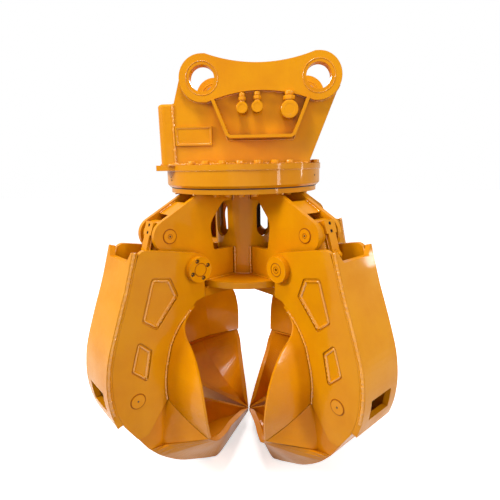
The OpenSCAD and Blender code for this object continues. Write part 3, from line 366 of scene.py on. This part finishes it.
def quartered(piece, body):
    """Copies a piece made for arm 1 to the other arms and lets each ride its own body."""
    base = piece.name
    for arm in QUARTERS:
        if arm == 1:
            each = piece
            each.name = each.data.name = base + "_1"
        else:
            each = copy_of(piece, "%s_%d" % (base, arm), Matrix.Rotation(math.pi / 2 * (arm - 1), 4, "Z"))
        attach(each, body % arm if "%" in body else body)


def pick_faces(piece, test):
    """Goes into edit mode with just the faces that pass the test selected."""
    bpy.ops.object.mode_set(mode="EDIT")
    bpy.ops.mesh.select_mode(type="FACE")
    bpy.ops.mesh.select_all(action="DESELECT")
    bpy.ops.object.mode_set(mode="OBJECT")
    for face in piece.data.polygons:
        face.select = test(face)
    bpy.ops.object.mode_set(mode="EDIT")


def top_face(face):
    return face.normal.z > 0.9


def object_mode():
    bpy.ops.object.mode_set(mode="OBJECT")


def bar(radius, depth, z0=0.0, sides=32):
    """A cylinder primitive along Z that starts at z0, in mm."""
    bpy.ops.mesh.primitive_cylinder_add(vertices=sides, radius=radius * MM, depth=depth * MM,
                                        location=(0, 0, (z0 + depth / 2) * MM))
    piece = bpy.context.object
    bpy.ops.object.transform_apply(location=True, rotation=True, scale=True)
    return piece


def rounded_edges(piece, width, angle=50, segments=2):
    edge = piece.modifiers.new("edge", "BEVEL")
    edge.width = width * MM
    edge.segments = segments
    edge.limit_method = "ANGLE"
    edge.angle_limit = math.radians(angle)
    bpy.context.view_layer.objects.active = piece
    bpy.ops.object.modifier_apply(modifier=edge.name)


# Tine outlines, as in the part

GRAB_R = 750
TINE_TOP = 1038
OUTER_EDGE = [(0.784, 0.984), (0.838, 0.855), (0.889, 0.753), (0.944, 0.633), (0.963, 0.559),
              (0.967, 0.491), (0.955, 0.419), (0.929, 0.356)]
SHELL = [(0.491, 0.7426), (0.527, 0.718), (0.573, 0.687), (0.608, 0.654), (0.639, 0.614), (0.660, 0.566),
         (0.679, 0.508), (0.687, 0.450), (0.684, 0.392)]


def curved(a, b, c, d, u):
    """Value at the share u of the way from b to c, on a smooth curve that also heeds a and d."""
    return (2 * b + (c - a) * u + (2 * a - 5 * b + 4 * c - d) * u * u
            + (3 * b - 3 * c + d - a) * u ** 3) / 2


def smooth_line(rows, steps):
    """Points in mm on a smooth curve through the rows of an outline table."""
    last = len(rows) - 1
    line = []
    for k in range(last * steps + 1):
        i = min(k // steps, last - 1)
        u = k / steps - i
        near = [rows[max(i - 1, 0)], rows[i], rows[i + 1], rows[min(i + 2, last)]]
        r, z = [curved(*[row[c] for row in near], u) for c in (0, 1)]
        line.append((r * GRAB_R, z * TINE_TOP))
    return line


# Weld beads

BEAD_STEP = 0.0042
BEAD_SEED = 7

noise.seed_set(BEAD_SEED)


def evenly(points, closed):
    """The same line with points one bead step apart."""
    line = list(points) + ([points[0]] if closed else [])
    made = []
    carry = 0.0
    for a, b in zip(line, line[1:]):
        span = (b - a).length
        while carry < span:
            made.append(a.lerp(b, carry / span))
            carry += BEAD_STEP
        carry -= span
    if not closed:
        made.append(line[-1])
    return made


def bead(name, points, radius, closed=False, rough=0.22):
    """A weld bead along points in metres: overlapping drops of uneven size."""
    line = evenly(points, closed)
    bpy.ops.curve.primitive_nurbs_path_add()
    path = bpy.context.object
    path.data.splines.clear()
    spline = path.data.splines.new("POLY")
    spline.points.add(len(line) - 1)
    for k, point in enumerate(line):
        wobble = noise.noise_vector(point * 90.0) * radius * MM * rough * 0.6
        drop = 1.0 + rough * (noise.noise(point * 150.0) + 0.4 * math.sin(k * 1.6))
        spline.points[k].co = (*(point + wobble), 1.0)
        spline.points[k].radius = max(drop, 0.5)
    spline.use_cyclic_u = closed
    path.data.dimensions = "3D"
    path.data.bevel_depth = radius * MM
    path.data.bevel_resolution = 1
    path.data.use_fill_caps = not closed
    bpy.ops.object.select_all(action="DESELECT")
    path.select_set(True)
    bpy.context.view_layer.objects.active = path
    bpy.ops.object.convert(target="MESH")
    return settle(bpy.context.object, name, WELD_PAINT, 60)


def circle_points(center, radius, axis="Z", count=96, start=0.0, sweep=360.0):
    """Points in metres on a circle in mm; the axis names the circle's own axis."""
    made = []
    for k in range(count + (sweep < 360)):
        a = math.radians(start + sweep * k / count)
        u, v = radius * math.cos(a), radius * math.sin(a)
        offset = (u, v, 0) if axis == "Z" else (u, 0, v)
        made.append(Vector([(c + o) * MM for c, o in zip(center, offset)]))
    return made


def beside(points, offset):
    """The same line in the outline plane, moved sideways (outwards on a tine's outer edge)."""
    made = []
    last = len(points) - 1
    for k, (r, z) in enumerate(points):
        before, after = points[max(k - 1, 0)], points[min(k + 1, last)]
        across = Vector((-(after[1] - before[1]), after[0] - before[0])).normalized()
        made.append((r + across.x * offset, z + across.y * offset))
    return made


def tine_welds():
    edge = smooth_line(OUTER_EDGE, 8)[:-8]
    corner = beside(edge, 12.5)
    shell = smooth_line(SHELL, 6)
    half = TINE_W / 2
    made = []
    for side in (-1, 1):
        made.append(bead("w", [arm_point(r, side * (half - 4), z) for r, z in corner], 8.0, rough=0.24))
        made.append(bead("w", [arm_point(r + 2, side * (half + 1), z) for r, z in shell[4:]], 5.0, rough=0.3))
        made.append(bead("w", [arm_point(r - 2, side * (half - SIDE_T - 1.5), z) for r, z in edge], 3.6))
    return joined(made, "tine_welds")


def frame_welds():
    made = []
    tube_x = math.sqrt(TUBE_R ** 2 - (ARM_W / 2) ** 2)
    for side in (-1, 1):
        t = side * (ARM_W / 2 + 1.5)
        under = DISC_Z - DISC_T - 1
        for start, end, radius in (((tube_x, DISC_Z + 1), (DISC_R - 4, DISC_Z + 1), 4.5),
                                   ((tube_x, RING_Z - 1), (RING_R - 6, RING_Z - 1), 4.5),
                                   ((tube_x, DISC_Z), (tube_x, TUBE_HOLE_LOW_Z), 7.5),
                                   ((tube_x, TUBE_HOLE_TOP_Z), (tube_x, RING_Z), 4.5),
                                   ((140, under), (DISC_R - 2, under), 4.0)):
            made.append(bead("w", [arm_point(start[0], t, start[1]), arm_point(end[0], t, end[1])], radius))
    arc = math.degrees(math.asin(ARM_W / 2 / TUBE_R))
    turn = math.degrees(ARM_TURN)
    for z in (DISC_Z + 1, RING_Z - 1):
        made.append(bead("w", circle_points((0, 0, z), TUBE_R + 1, "Z", 24, turn + arc, 90 - 2 * arc), 4.8))
    return joined(made, "frame_welds")


def saddle_arc(y):
    """Line under the saddle plate between the two bosses of an ear."""
    return circle_points((SADDLE_X, y, EAR_Z - SADDLE_DIP - SADDLE_R), SADDLE_R - 1, "Y", 60, 68, 44)


def head_welds():
    made = []
    for side in (-1, 1):
        foot = [(COVER_END_X + 34, side * (EAR_OUT + 1), DECK_Z + 1),
                (RIGHT_FOOT_X, side * (EAR_OUT + 1), DECK_Z + 1)]
        seam = [(COVER_X, side * EAR_OUT, DECK_Z), (COVER_X, side * EAR_OUT, COVER_TOP_Z - 6)]
        made.append(bead("w", [Vector(q) * MM for q in foot], 7.0, rough=0.45))
        made.append(bead("w", [Vector(q) * MM for q in seam], 5.5, rough=0.3))
    made.append(bead("w", [Vector((COVER_END_X - 1, y, DECK_Z + 1)) * MM for y in (-185, 185)], 5.0))
    for y in (-EAR_OUT - 1, EAR_OUT + 1):
        made.append(bead("w", circle_points((EAR_X[0], y, EAR_Z), EAR_BOSS_R + 1, "Y", 40, 170, 128), 2.4))
        made.append(bead("w", circle_points((EAR_X[1], y, EAR_Z), EAR_BOSS_R + 1, "Y", 40, 242, 96), 3.0))
        made.append(bead("w", saddle_arc(y), 3.0))
    for x in EAR_X:
        for y in (-EAR_FACE, -EAR_IN, EAR_IN, EAR_FACE):
            made.append(bead("w", circle_points((x, y, EAR_Z), BUSH_R, "Y", 80), 1.9, True, 0.12))
    line = [Vector((x, -EAR_OUT - 1, z)) * MM for x, z in PORT_GUARD]
    made.append(bead("w", line, 2.8))
    made.append(bead("w", circle_points((0, 0, HOUSING_TOP_Z), HOUSING_R + 1, "Z", 160), 2.0, True, 0.5))
    return joined(made, "head_welds")


def add_welds():
    quartered(tine_welds(), "tine_%d")
    quartered(frame_welds(), "frame")
    welds = head_welds()
    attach(welds, "head")


add_welds()


# Bolts

def hex_bolt_head(size):
    """Hexagon head with a chamfered crown on a plain washer; underside of the washer at z = 0."""
    washer_t = size * 0.18
    washer = bar(size * 1.0, washer_t, 0, 28)
    rounded_edges(washer, 0.5)
    head = bar(size * 0.92, size * 0.62, washer_t, 6)
    pick_faces(head, top_face)
    bpy.ops.mesh.inset(thickness=size * 0.10 * MM)
    bpy.ops.transform.translate(value=(0, 0, size * 0.07 * MM))
    bpy.ops.mesh.inset(thickness=size * 0.06 * MM)
    object_mode()
    rounded_edges(head, 0.35, 30, 1)
    shank = bar(size / 2, size * 2.2, -size * 2.2, 20)
    return joined([head, washer, shank], "bolt")


def flange_bolt_places():
    places = []
    r = FLANGE_BOLT_R
    for k in range(BOLT_COUNT):
        a = math.radians(360 // BOLT_COUNT * k + 6)
        x, y = r * math.cos(a), r * math.sin(a)
        clear_ear = abs(y) > EAR_OUT + BOLT_SIZE or abs(y) < EAR_IN - BOLT_SIZE
        clear_cover = x > COVER_X + BOLT_SIZE or abs(y) > EAR_OUT + BOLT_SIZE
        clear_web = abs(y) > EAR_IN or x > RIGHT_FOOT_X + BOLT_SIZE
        if clear_ear and clear_cover and clear_web:
            places.append((x, y))
    return places


def ring_bolt_places():
    places = []
    r = RING_BOLT_R
    for k in range(BOLT_COUNT):
        a = 360 // BOLT_COUNT * k
        t = r * abs(math.sin(math.radians((a + 45) % 90 - 45)))
        if t < ARM_W / 2 - ARM_T - BOLT_SIZE or t > ARM_W / 2 + BOLT_SIZE * 0.94:
            turn = ARM_TURN + math.radians(a)
            places.append((r * math.cos(turn), r * math.sin(turn)))
    return places


def add_bolts():
    model = settle(hex_bolt_head(BOLT_SIZE), "bolt", FINISHES["bolt_paint"], 30)
    tops = []
    for k, (x, y) in enumerate(flange_bolt_places()):
        place = Matrix.Translation((x * MM, y * MM, DECK_Z * MM))
        tops.append(place @ Matrix.Rotation(0.7 * k, 4, "Z"))
    lower = copy_of(model, "lower_bolt", Matrix.Identity(4))
    bolts = scattered(model, tops, "flange_bolt_set")
    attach(bolts, "head")
    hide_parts("flange_bolts")
    upside_down = Matrix.Rotation(math.pi, 4, "X")
    unders = []
    for k, (x, y) in enumerate(ring_bolt_places()):
        place = Matrix.Translation((x * MM, y * MM, RING_Z * MM))
        unders.append(place @ upside_down @ Matrix.Rotation(0.9 * k, 4, "Z"))
    bolts = scattered(lower, unders, "ring_bolt_set")
    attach(bolts, "frame")
    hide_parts("ring_bolts")


add_bolts()


# Turned and small pieces

def turned(profile, sides=32):
    """A closed turned piece along Z from a profile of (radius, height) in mm, first row lowest."""
    radius, height = profile[0]
    bpy.ops.mesh.primitive_circle_add(vertices=sides, radius=radius * MM, fill_type="NGON",
                                      location=(0, 0, height * MM))
    piece = bpy.context.object
    bpy.ops.object.transform_apply(location=True, rotation=True, scale=True)
    bpy.ops.object.mode_set(mode="EDIT")
    bpy.ops.mesh.select_all(action="SELECT")
    for new_radius, new_height in profile[1:]:
        bpy.ops.mesh.extrude_region_move(TRANSFORM_OT_translate={"value": (0, 0, (new_height - height) * MM)})
        share = new_radius / radius
        bpy.ops.transform.resize(value=(share, share, 1), center_override=(0, 0, new_height * MM))
        radius, height = new_radius, new_height
    bpy.ops.mesh.select_all(action="SELECT")
    bpy.ops.mesh.normals_make_consistent(inside=False)
    object_mode()
    return piece


def aimed(place, direction, spin=0.0):
    """Matrix that takes a piece made along +Z to a place in mm, pointing in a direction."""
    turn = Vector(direction).to_track_quat("Z", "Y").to_matrix().to_4x4()
    return Matrix.Translation(Vector(place) * MM) @ turn @ Matrix.Rotation(spin, 4, "Z")


def placed(piece, place, direction, spin=0.0):
    piece.data.transform(aimed(place, direction, spin))
    return piece


def socket_screw(size, name):
    """Socket head screw seen from above: rounded head with a six-sided hole."""
    head = turned([(size * 0.5, -size * 0.5), (size * 0.82, -size * 0.5), (size * 0.82, size * 0.1),
                   (size * 0.74, size * 0.2)], 24)
    hole = bar(size * 0.48, size * 0.9, -size * 0.35, 6)
    cut = head.modifiers.new("hole", "BOOLEAN")
    cut.object = hole
    cut.solver = "EXACT"
    bpy.ops.object.select_all(action="DESELECT")
    bpy.context.view_layer.objects.active = head
    bpy.ops.object.modifier_apply(modifier=cut.name)
    bpy.data.objects.remove(hole)
    return settle(head, name, DARK_STEEL, 30)


def rounded_outline(rows, steps=5):
    """Points of a closed outline whose corners (x, z, radius) in mm are rounded."""
    made = []
    count = len(rows)
    for k in range(count):
        before, here, after = [Vector(rows[(k + d) % count][:2]) for d in (-1, 0, 1)]
        a, b = (before - here).normalized(), (after - here).normalized()
        half = a.angle(b) / 2
        reach = rows[k][2] / math.tan(half)
        center = here + (a + b).normalized() * rows[k][2] / math.sin(half)
        start, end = here + a * reach - center, here + b * reach - center
        for i in range(steps + 1):
            made.append(center + start.slerp(end, i / steps) if rows[k][2] else here)
    return made


UPPER_PANEL = [(0.619, 0.872), (0.724, 0.888), (0.795, 0.732), (0.716, 0.684), (0.579, 0.797)]
LOWER_PANEL = [(0.820, 0.667), (0.870, 0.553), (0.787, 0.493), (0.749, 0.615)]
RIM_ROLL = 7


def panel_rims():
    """Soft rolled edges of the pressed panels, from the plate's face down to the panel's floor."""
    made = []
    for rows, corner in ((UPPER_PANEL, 12.9), (LOWER_PANEL, 10.7)):
        outline = rounded_outline([(r * GRAB_R, z * TINE_TOP, corner) for r, z in rows])
        for side in (-1, 1):
            line = [arm_point(p[0], side * (TINE_W / 2 - RIM_ROLL - 0.2), p[1]) for p in outline]
            made.append(bead("w", line, RIM_ROLL, True, 0.04))
    return joined(made, "panel_rims")


def paint_runs():
    """Thick drops of paint gathered on the panels' inner lower edges."""
    made = []
    for start, end in ((UPPER_PANEL[4], UPPER_PANEL[3]), (LOWER_PANEL[3], LOWER_PANEL[2])):
        a = Vector((start[0] * GRAB_R, start[1] * TINE_TOP))
        b = Vector((end[0] * GRAB_R, end[1] * TINE_TOP))
        inward = Vector((b.y - a.y, a.x - b.x)).normalized() * -7
        for side in (-1, 1):
            line = []
            for k in range(9):
                q = a.lerp(b, 0.10 + 0.80 * k / 8) + inward
                line.append(arm_point(q.x, side * (TINE_W / 2 - 4.4), q.y))
            made.append(bead("w", line, 3.6, False, 0.9))
    return joined(made, "paint_runs")


def cap_screws():
    """Screws sunk in one cap of the tine pin, on the side with the four holes."""
    made = []
    for k in range(4):
        a = math.radians(20 + 90 * k)
        r, z = TINE_PIN[0] + CAP_D * 0.36 * math.cos(a), TINE_PIN[1] - CAP_D * 0.36 * math.sin(a)
        made.append(arm_place(1) @ aimed((r, TINE_W / 2 + CAP_T - 6, z), (0, 1, 0), 0.4 * k))
    return scattered(socket_screw(9, "screw"), made, "cap_screws")


def ring_line(radius, thickness, place, direction, finish, sides=48):
    bpy.ops.mesh.primitive_torus_add(major_radius=radius * MM, minor_radius=thickness * MM,
                                     major_segments=sides, minor_segments=8)
    ring = bpy.context.object
    bpy.ops.object.transform_apply(location=True, rotation=True, scale=True)
    placed(ring, place, direction)
    ring.data.transform(arm_place(1))
    return settle(ring, "ring", finish, 60)


# Thin rings painted dark on the upper pin ends: painted shade of turned grooves.
def upper_pin_rings():
    made = []
    for side in (-1, 1):
        for radius, thick, rise in ((28, 2.0, 0.4), (9, 1.0, 3.2)):
            made.append(ring_line(radius, thick, (UPPER_PIN[0], side * (ARM_W / 2 + rise), UPPER_PIN[1]),
                                  (0, side, 0), GROOVE_SHADE_PAINT))
    return joined(made, "upper_pin_rings")


def pin_rings():
    """Raised rims on the caps, and thin rings painted dark on the caps and pin ends of a tine as painted
    shade of turned grooves.
    """
    made = []
    pin_r, pin_z = TINE_PIN
    low_r, low_z = LOWER_PIN
    face = TINE_W / 2 + CAP_T
    rim = FINISHES["pin_paint"]
    for side in (-1, 1):
        out = (0, side, 0)
        made.append(ring_line(CAP_D / 2 - 2.4, 2.3, (pin_r, side * (face - 1.6), pin_z), out, rim))
        low = (low_r, side * (TINE_W / 2 + 0.4), low_z)
        made.append(ring_line(LOWER_RING_R, 2.0, low, out, GROOVE_SHADE_PAINT))
        made.append(ring_line(27, 1.3, (pin_r, side * face, pin_z), out, GROOVE_SHADE_PAINT))
    made.append(ring_line(13, 1.3, (pin_r, -face, pin_z), (0, -1, 0), GROOVE_SHADE_PAINT))
    return joined(made, "pin_rings")


def centre_marks():
    """Dark discs on the ends of the cylinder pins for their shallow turning centres: the dark is painted
    shade of the holes.
    """
    made = []
    for place, width in ((UPPER_PIN, ARM_W), (LOWER_PIN, TINE_W)):
        for side in (-1, 1):
            mark = turned([(3.6, -1.0), (3.6, 0.4), (2.6, 0.6)], 16)
            placed(mark, (place[0], side * (width / 2 + 3), place[1]), (0, side, 0))
            mark.data.transform(arm_place(1))
            made.append(settle(mark, "mark", DARK_STEEL, 30))
    return made


CYLINDER_TILT = math.atan2(LOWER_PIN[0] - UPPER_PIN[0], UPPER_PIN[1] - LOWER_PIN[1])


def on_cylinder():
    """Matrix from the cylinder's own frame (upper pin at 0, rod down along -Z) to the part's frame."""
    at_pin = Matrix.Translation((UPPER_PIN[0] * MM, 0, UPPER_PIN[1] * MM))
    return arm_place(1) @ at_pin @ Matrix.Rotation(-CYLINDER_TILT, 4, "Y")


DUCT_FACE = 66
DUCT_SHIFT = 10


def duct_screws():
    places = [on_cylinder() @ aimed((DUCT_FACE - 3, DUCT_SHIFT, z), (1, 0, 0), 0.3) for z in (-3.6, 26)]
    return scattered(socket_screw(8.4, "screw"), places, "duct_screws")


def cylinder_trim():
    """Hose fitting on the duct, weld at its foot, gland nut with spanner holes."""
    fitting = turned([(13, 0), (13, 5), (9.5, 6.5), (9.5, 11), (8, 12.5)], 6)
    placed(fitting, (DUCT_FACE + 5, DUCT_SHIFT, -96), (1, 0, 0))
    nut = turned([(57, -394), (59, -392), (59, -376), (57, -374)], 48)
    pick_faces(nut, lambda f: abs(f.normal.z) < 0.2 and abs(f.center.z + 0.384) < 0.004
               and int(math.degrees(math.atan2(f.center.y, f.center.x)) / 7.5 + 48) % 8 == 0)
    bpy.ops.mesh.inset(thickness=0.0012, use_individual=True)
    bpy.ops.mesh.extrude_region_shrink_fatten(TRANSFORM_OT_shrink_fatten={"value": -0.003})
    object_mode()
    neck = bead("w", circle_points((0, 0, -100), 53, "Z", 64), 3.6, True)
    edge = []
    for side in (-1, 1):
        y = DUCT_SHIFT + side * 21
        edge.append(bead("w", [Vector((52 * MM, y * MM, z * MM)) for z in (-14, -118)], 3.2))
    body = joined([fitting, nut], "cylinder_trim")
    settle(body, "cylinder_trim", FINISHES["barrel_paint"], 30)
    welds = joined([neck] + edge, "barrel_welds")
    for piece in (body, welds):
        piece.data.transform(on_cylinder())
    return body, welds


def wiper():
    """Rubber ring where the rod leaves the barrel."""
    bpy.ops.mesh.primitive_torus_add(major_radius=31 * MM, minor_radius=4 * MM, major_segments=48,
                                     minor_segments=10, location=(0, 0, -395 * MM))
    ring = bpy.context.object
    bpy.ops.object.transform_apply(location=True, rotation=True, scale=True)
    ring.data.transform(on_cylinder())
    return settle(ring, "rod_wiper", FINISHES["seal_rubber"], 60)


COVER_SLOPE = math.radians(28.7)
COVER_START_R = 293
COVER_SINK = 9


def cover_welds():
    """Beads along both sides of the sloped arm cover, on its upper face."""
    made = []
    for side in (-1, 1):
        line = []
        for d in (54, 139):
            r = COVER_START_R + d * math.cos(COVER_SLOPE) - COVER_SINK * math.sin(COVER_SLOPE)
            z = RING_Z - d * math.sin(COVER_SLOPE) - COVER_SINK * math.cos(COVER_SLOPE)
            line.append(arm_point(r, side * (ARM_W / 2 - ARM_T), z))
        made.append(bead("w", line, 4.2))
    return joined(made, "cover_welds")


def add_tine_details():
    quartered(panel_rims(), "tine_%d")
    quartered(paint_runs(), "tine_%d")
    quartered(cap_screws(), "tine_%d")
    quartered(pin_rings(), "tine_%d")
    quartered(upper_pin_rings(), "frame")
    marks = centre_marks()
    quartered(joined(marks[2:], "lower_pin_marks"), "tine_%d")
    quartered(joined(marks[:2], "upper_pin_marks"), "frame")
    quartered(cover_welds(), "frame")
    quartered(duct_screws(), "barrel_%d")
    body, welds = cylinder_trim()
    quartered(body, "barrel_%d")
    quartered(welds, "barrel_%d")
    quartered(wiper(), "barrel_%d")


add_tine_details()


# Seal lip, oil ports, housing screws and name plate rim of the head

PORTS = ((10, 1535, 44, 57), (68, 1538, 44, 57), (190, 1526, 67, 71))
SEAL_LIP_R = 326.6
SEAL_LIP_T = 2.3
SEAL_LIP_Z = 1233.6
HOUSING_SCREWS = ((210, 1279), (211, 1266), (332, 1277))
PLATE_X = (COVER_X + 9, COVER_X + 149)
PLATE_Z = (DECK_Z + 77, DECK_Z + 145)


def port(x, z, size, top):
    """A capped elbow: flanged foot, cap with a grip rim, neck with a hexagon nut and a plug on top."""
    out = (0, -1, 0)
    made = []
    foot = turned([(size * 0.43, 0), (size * 0.43, 7), (size * 0.38, 9), (size * 0.38, 36)], 40)
    made.append(settle(placed(foot, (x, -EAR_OUT, z), out), "foot", FINISHES["bolt_paint"], 30))
    cap = turned([(size * 0.47, 35), (size * 0.5, 36.5), (size * 0.5, 49.5), (size * 0.46, 51.6),
                  (size * 0.30, 51.8), (size * 0.28, 51.0), (size * 0.05, 51.0)], 48)
    pick_faces(cap, lambda f: abs(f.normal.z) < 0.2 and 0.040 < f.center.z < 0.046
               and int((math.degrees(math.atan2(f.center.y, f.center.x)) + 360) / 7.5) % 2 == 0)
    bpy.ops.mesh.extrude_region_shrink_fatten(TRANSFORM_OT_shrink_fatten={"value": -0.0012})
    object_mode()
    made.append(settle(placed(cap, (x, -EAR_OUT, z), out), "cap", FINISHES["pin_paint"], 30))
    neck_y = -EAR_OUT - 22
    neck = turned([(size * 0.25, 0), (size * 0.25, top * 0.5), (size * 0.20, top * 0.55),
                   (size * 0.20, top * 0.8)], 28)
    made.append(settle(placed(neck, (x, neck_y, z), (0, 0, 1)), "neck", FINISHES["bolt_paint"], 30))
    nut = bar(size * 0.345, top * 0.22, top * 0.52, 6)
    rounded_edges(nut, 1.0, 30)
    made.append(settle(placed(nut, (x, neck_y, z), (0, 0, 1), 0.3), "nut", FINISHES["bolt_paint"], 30))
    plug = turned([(size * 0.20, top * 0.74), (size * 0.25, top * 0.80), (size * 0.25, top * 0.95),
                   (size * 0.19, top)], 28)
    made.append(settle(placed(plug, (x, neck_y, z), (0, 0, 1)), "plug", FINISHES["bolt_paint"], 30))
    return made


def add_seal_lip():
    """Black lip of the slewing seal, pressed out of the gap under the bearing housing."""
    bpy.ops.mesh.primitive_torus_add(major_radius=SEAL_LIP_R * MM, minor_radius=SEAL_LIP_T * MM,
                                     major_segments=160, minor_segments=8, location=(0, 0, SEAL_LIP_Z * MM))
    lip = settle(bpy.context.object, "seal_lip", FINISHES["seal_rubber"], 60)
    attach(lip, "head")


add_seal_lip()


def add_ports():
    pieces = []
    for place in PORTS:
        pieces += port(*place)
    ports = joined(pieces, "capped_ports")
    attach(ports, "head")
    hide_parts("oil_ports")


add_ports()


def add_housing_screws():
    """Small socket screws in the side of the bearing housing."""
    places = []
    for turn, z in HOUSING_SCREWS:
        out = Vector((math.cos(math.radians(turn)), math.sin(math.radians(turn)), 0))
        places.append(aimed((HOUSING_R * out.x, HOUSING_R * out.y, z), out))
    screws = scattered(socket_screw(4.6, "screw"), places, "housing_screws")
    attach(screws, "head")


add_housing_screws()


def add_plate_rim():
    """Rounded rim of the bare plate on the front ear."""
    low_x, high_x = PLATE_X
    low_z, high_z = PLATE_Z
    corners = ((low_x, low_z), (high_x, low_z), (high_x, high_z), (low_x, high_z))
    outline = rounded_outline([(x, z, 5) for x, z in corners])
    line = [Vector((q.x, -EAR_OUT - 5, q.y)) * MM for q in outline]
    rim = bead("plate_rim", line, 2.8, True, 0.06)
    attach(rim, "head")


add_plate_rim()


# Floor, background and studio light

def area_light(name, place, aim, size, watts):
    bpy.ops.object.light_add(type="AREA", location=place)
    lamp = bpy.context.object
    lamp.name = name
    lamp.data.shape = "RECTANGLE"
    lamp.data.size = size[0]
    lamp.data.size_y = size[1]
    lamp.data.energy = watts
    lamp.rotation_euler = (Vector(aim) - Vector(place)).to_track_quat("-Z", "Y").to_euler()


def seen_directly(r):
    """1 for rays from the camera, from reflections and through glass, 0 for the light on the object."""
    path = r.add("ShaderNodeLightPath")
    through = r.math("MAXIMUM", path.outputs["Is Glossy Ray"], path.outputs["Is Transmission Ray"])
    return r.math("MAXIMUM", path.outputs["Is Camera Ray"], through)


FLOOR_SEEN = 0.92
FLOOR_UNSEEN = 0.20
FLOOR_GLOW = 0.60
ROOM_LIGHT = 0.50


def grey(tone):
    return (tone, tone, tone, 1)


def add_stage():
    bpy.ops.mesh.primitive_plane_add(size=30, location=(0, 0, 0))
    floor = bpy.context.object
    floor.name = "floor"
    material = bpy.data.materials.new("floor_pale")
    material.use_nodes = True
    r = Recipe(material.node_tree)
    shader = material.node_tree.nodes["Principled BSDF"]
    seen = seen_directly(r)
    r.link(r.mix(seen, grey(FLOOR_UNSEEN), grey(FLOOR_SEEN)), shader.inputs["Base Color"])
    shader.inputs["Emission Color"].default_value = (1, 1, 1, 1)
    r.link(r.math("MULTIPLY", seen, FLOOR_GLOW), shader.inputs["Emission Strength"])
    shader.inputs["Roughness"].default_value = 0.7
    shader.inputs["Specular IOR Level"].default_value = 0.1
    floor.data.materials.append(material)
    world = bpy.data.worlds.new("studio")
    bpy.context.scene.world = world
    world.use_nodes = True
    r = Recipe(world.node_tree)
    background = world.node_tree.nodes["Background"]
    seen = seen_directly(r)
    background.inputs["Color"].default_value = (1, 1, 1, 1)
    r.link(r.ramp(seen, 0.0, 1.0, ROOM_LIGHT, 1.0), background.inputs["Strength"])


add_stage()
area_light("key", (-3.6, -1.75, 3.0), (0, 0, 0.8), (1.2, 1.2), 130)
area_light("front", (0.2, -3.6, 0.7), (0, 0, 0.95), (2.8, 1.8), 17)
area_light("strip", (3.1, -2.5, 1.9), (0, 0, 0.9), (0.3, 2.0), 52)
area_light("side", (3.6, 0.05, 1.24), (0.48, -0.40, 0.97), (0.14, 0.14), 3.2)
area_light("rim", (-0.2, 3.4, 3.0), (0, 0, 0.9), (1.0, 1.0), 60)
area_light("top", (-0.3, -1.3, 4.2), (0, 0, 0.9), (0.6, 0.6), 55)
bpy.context.scene.view_settings.view_transform = "Standard"
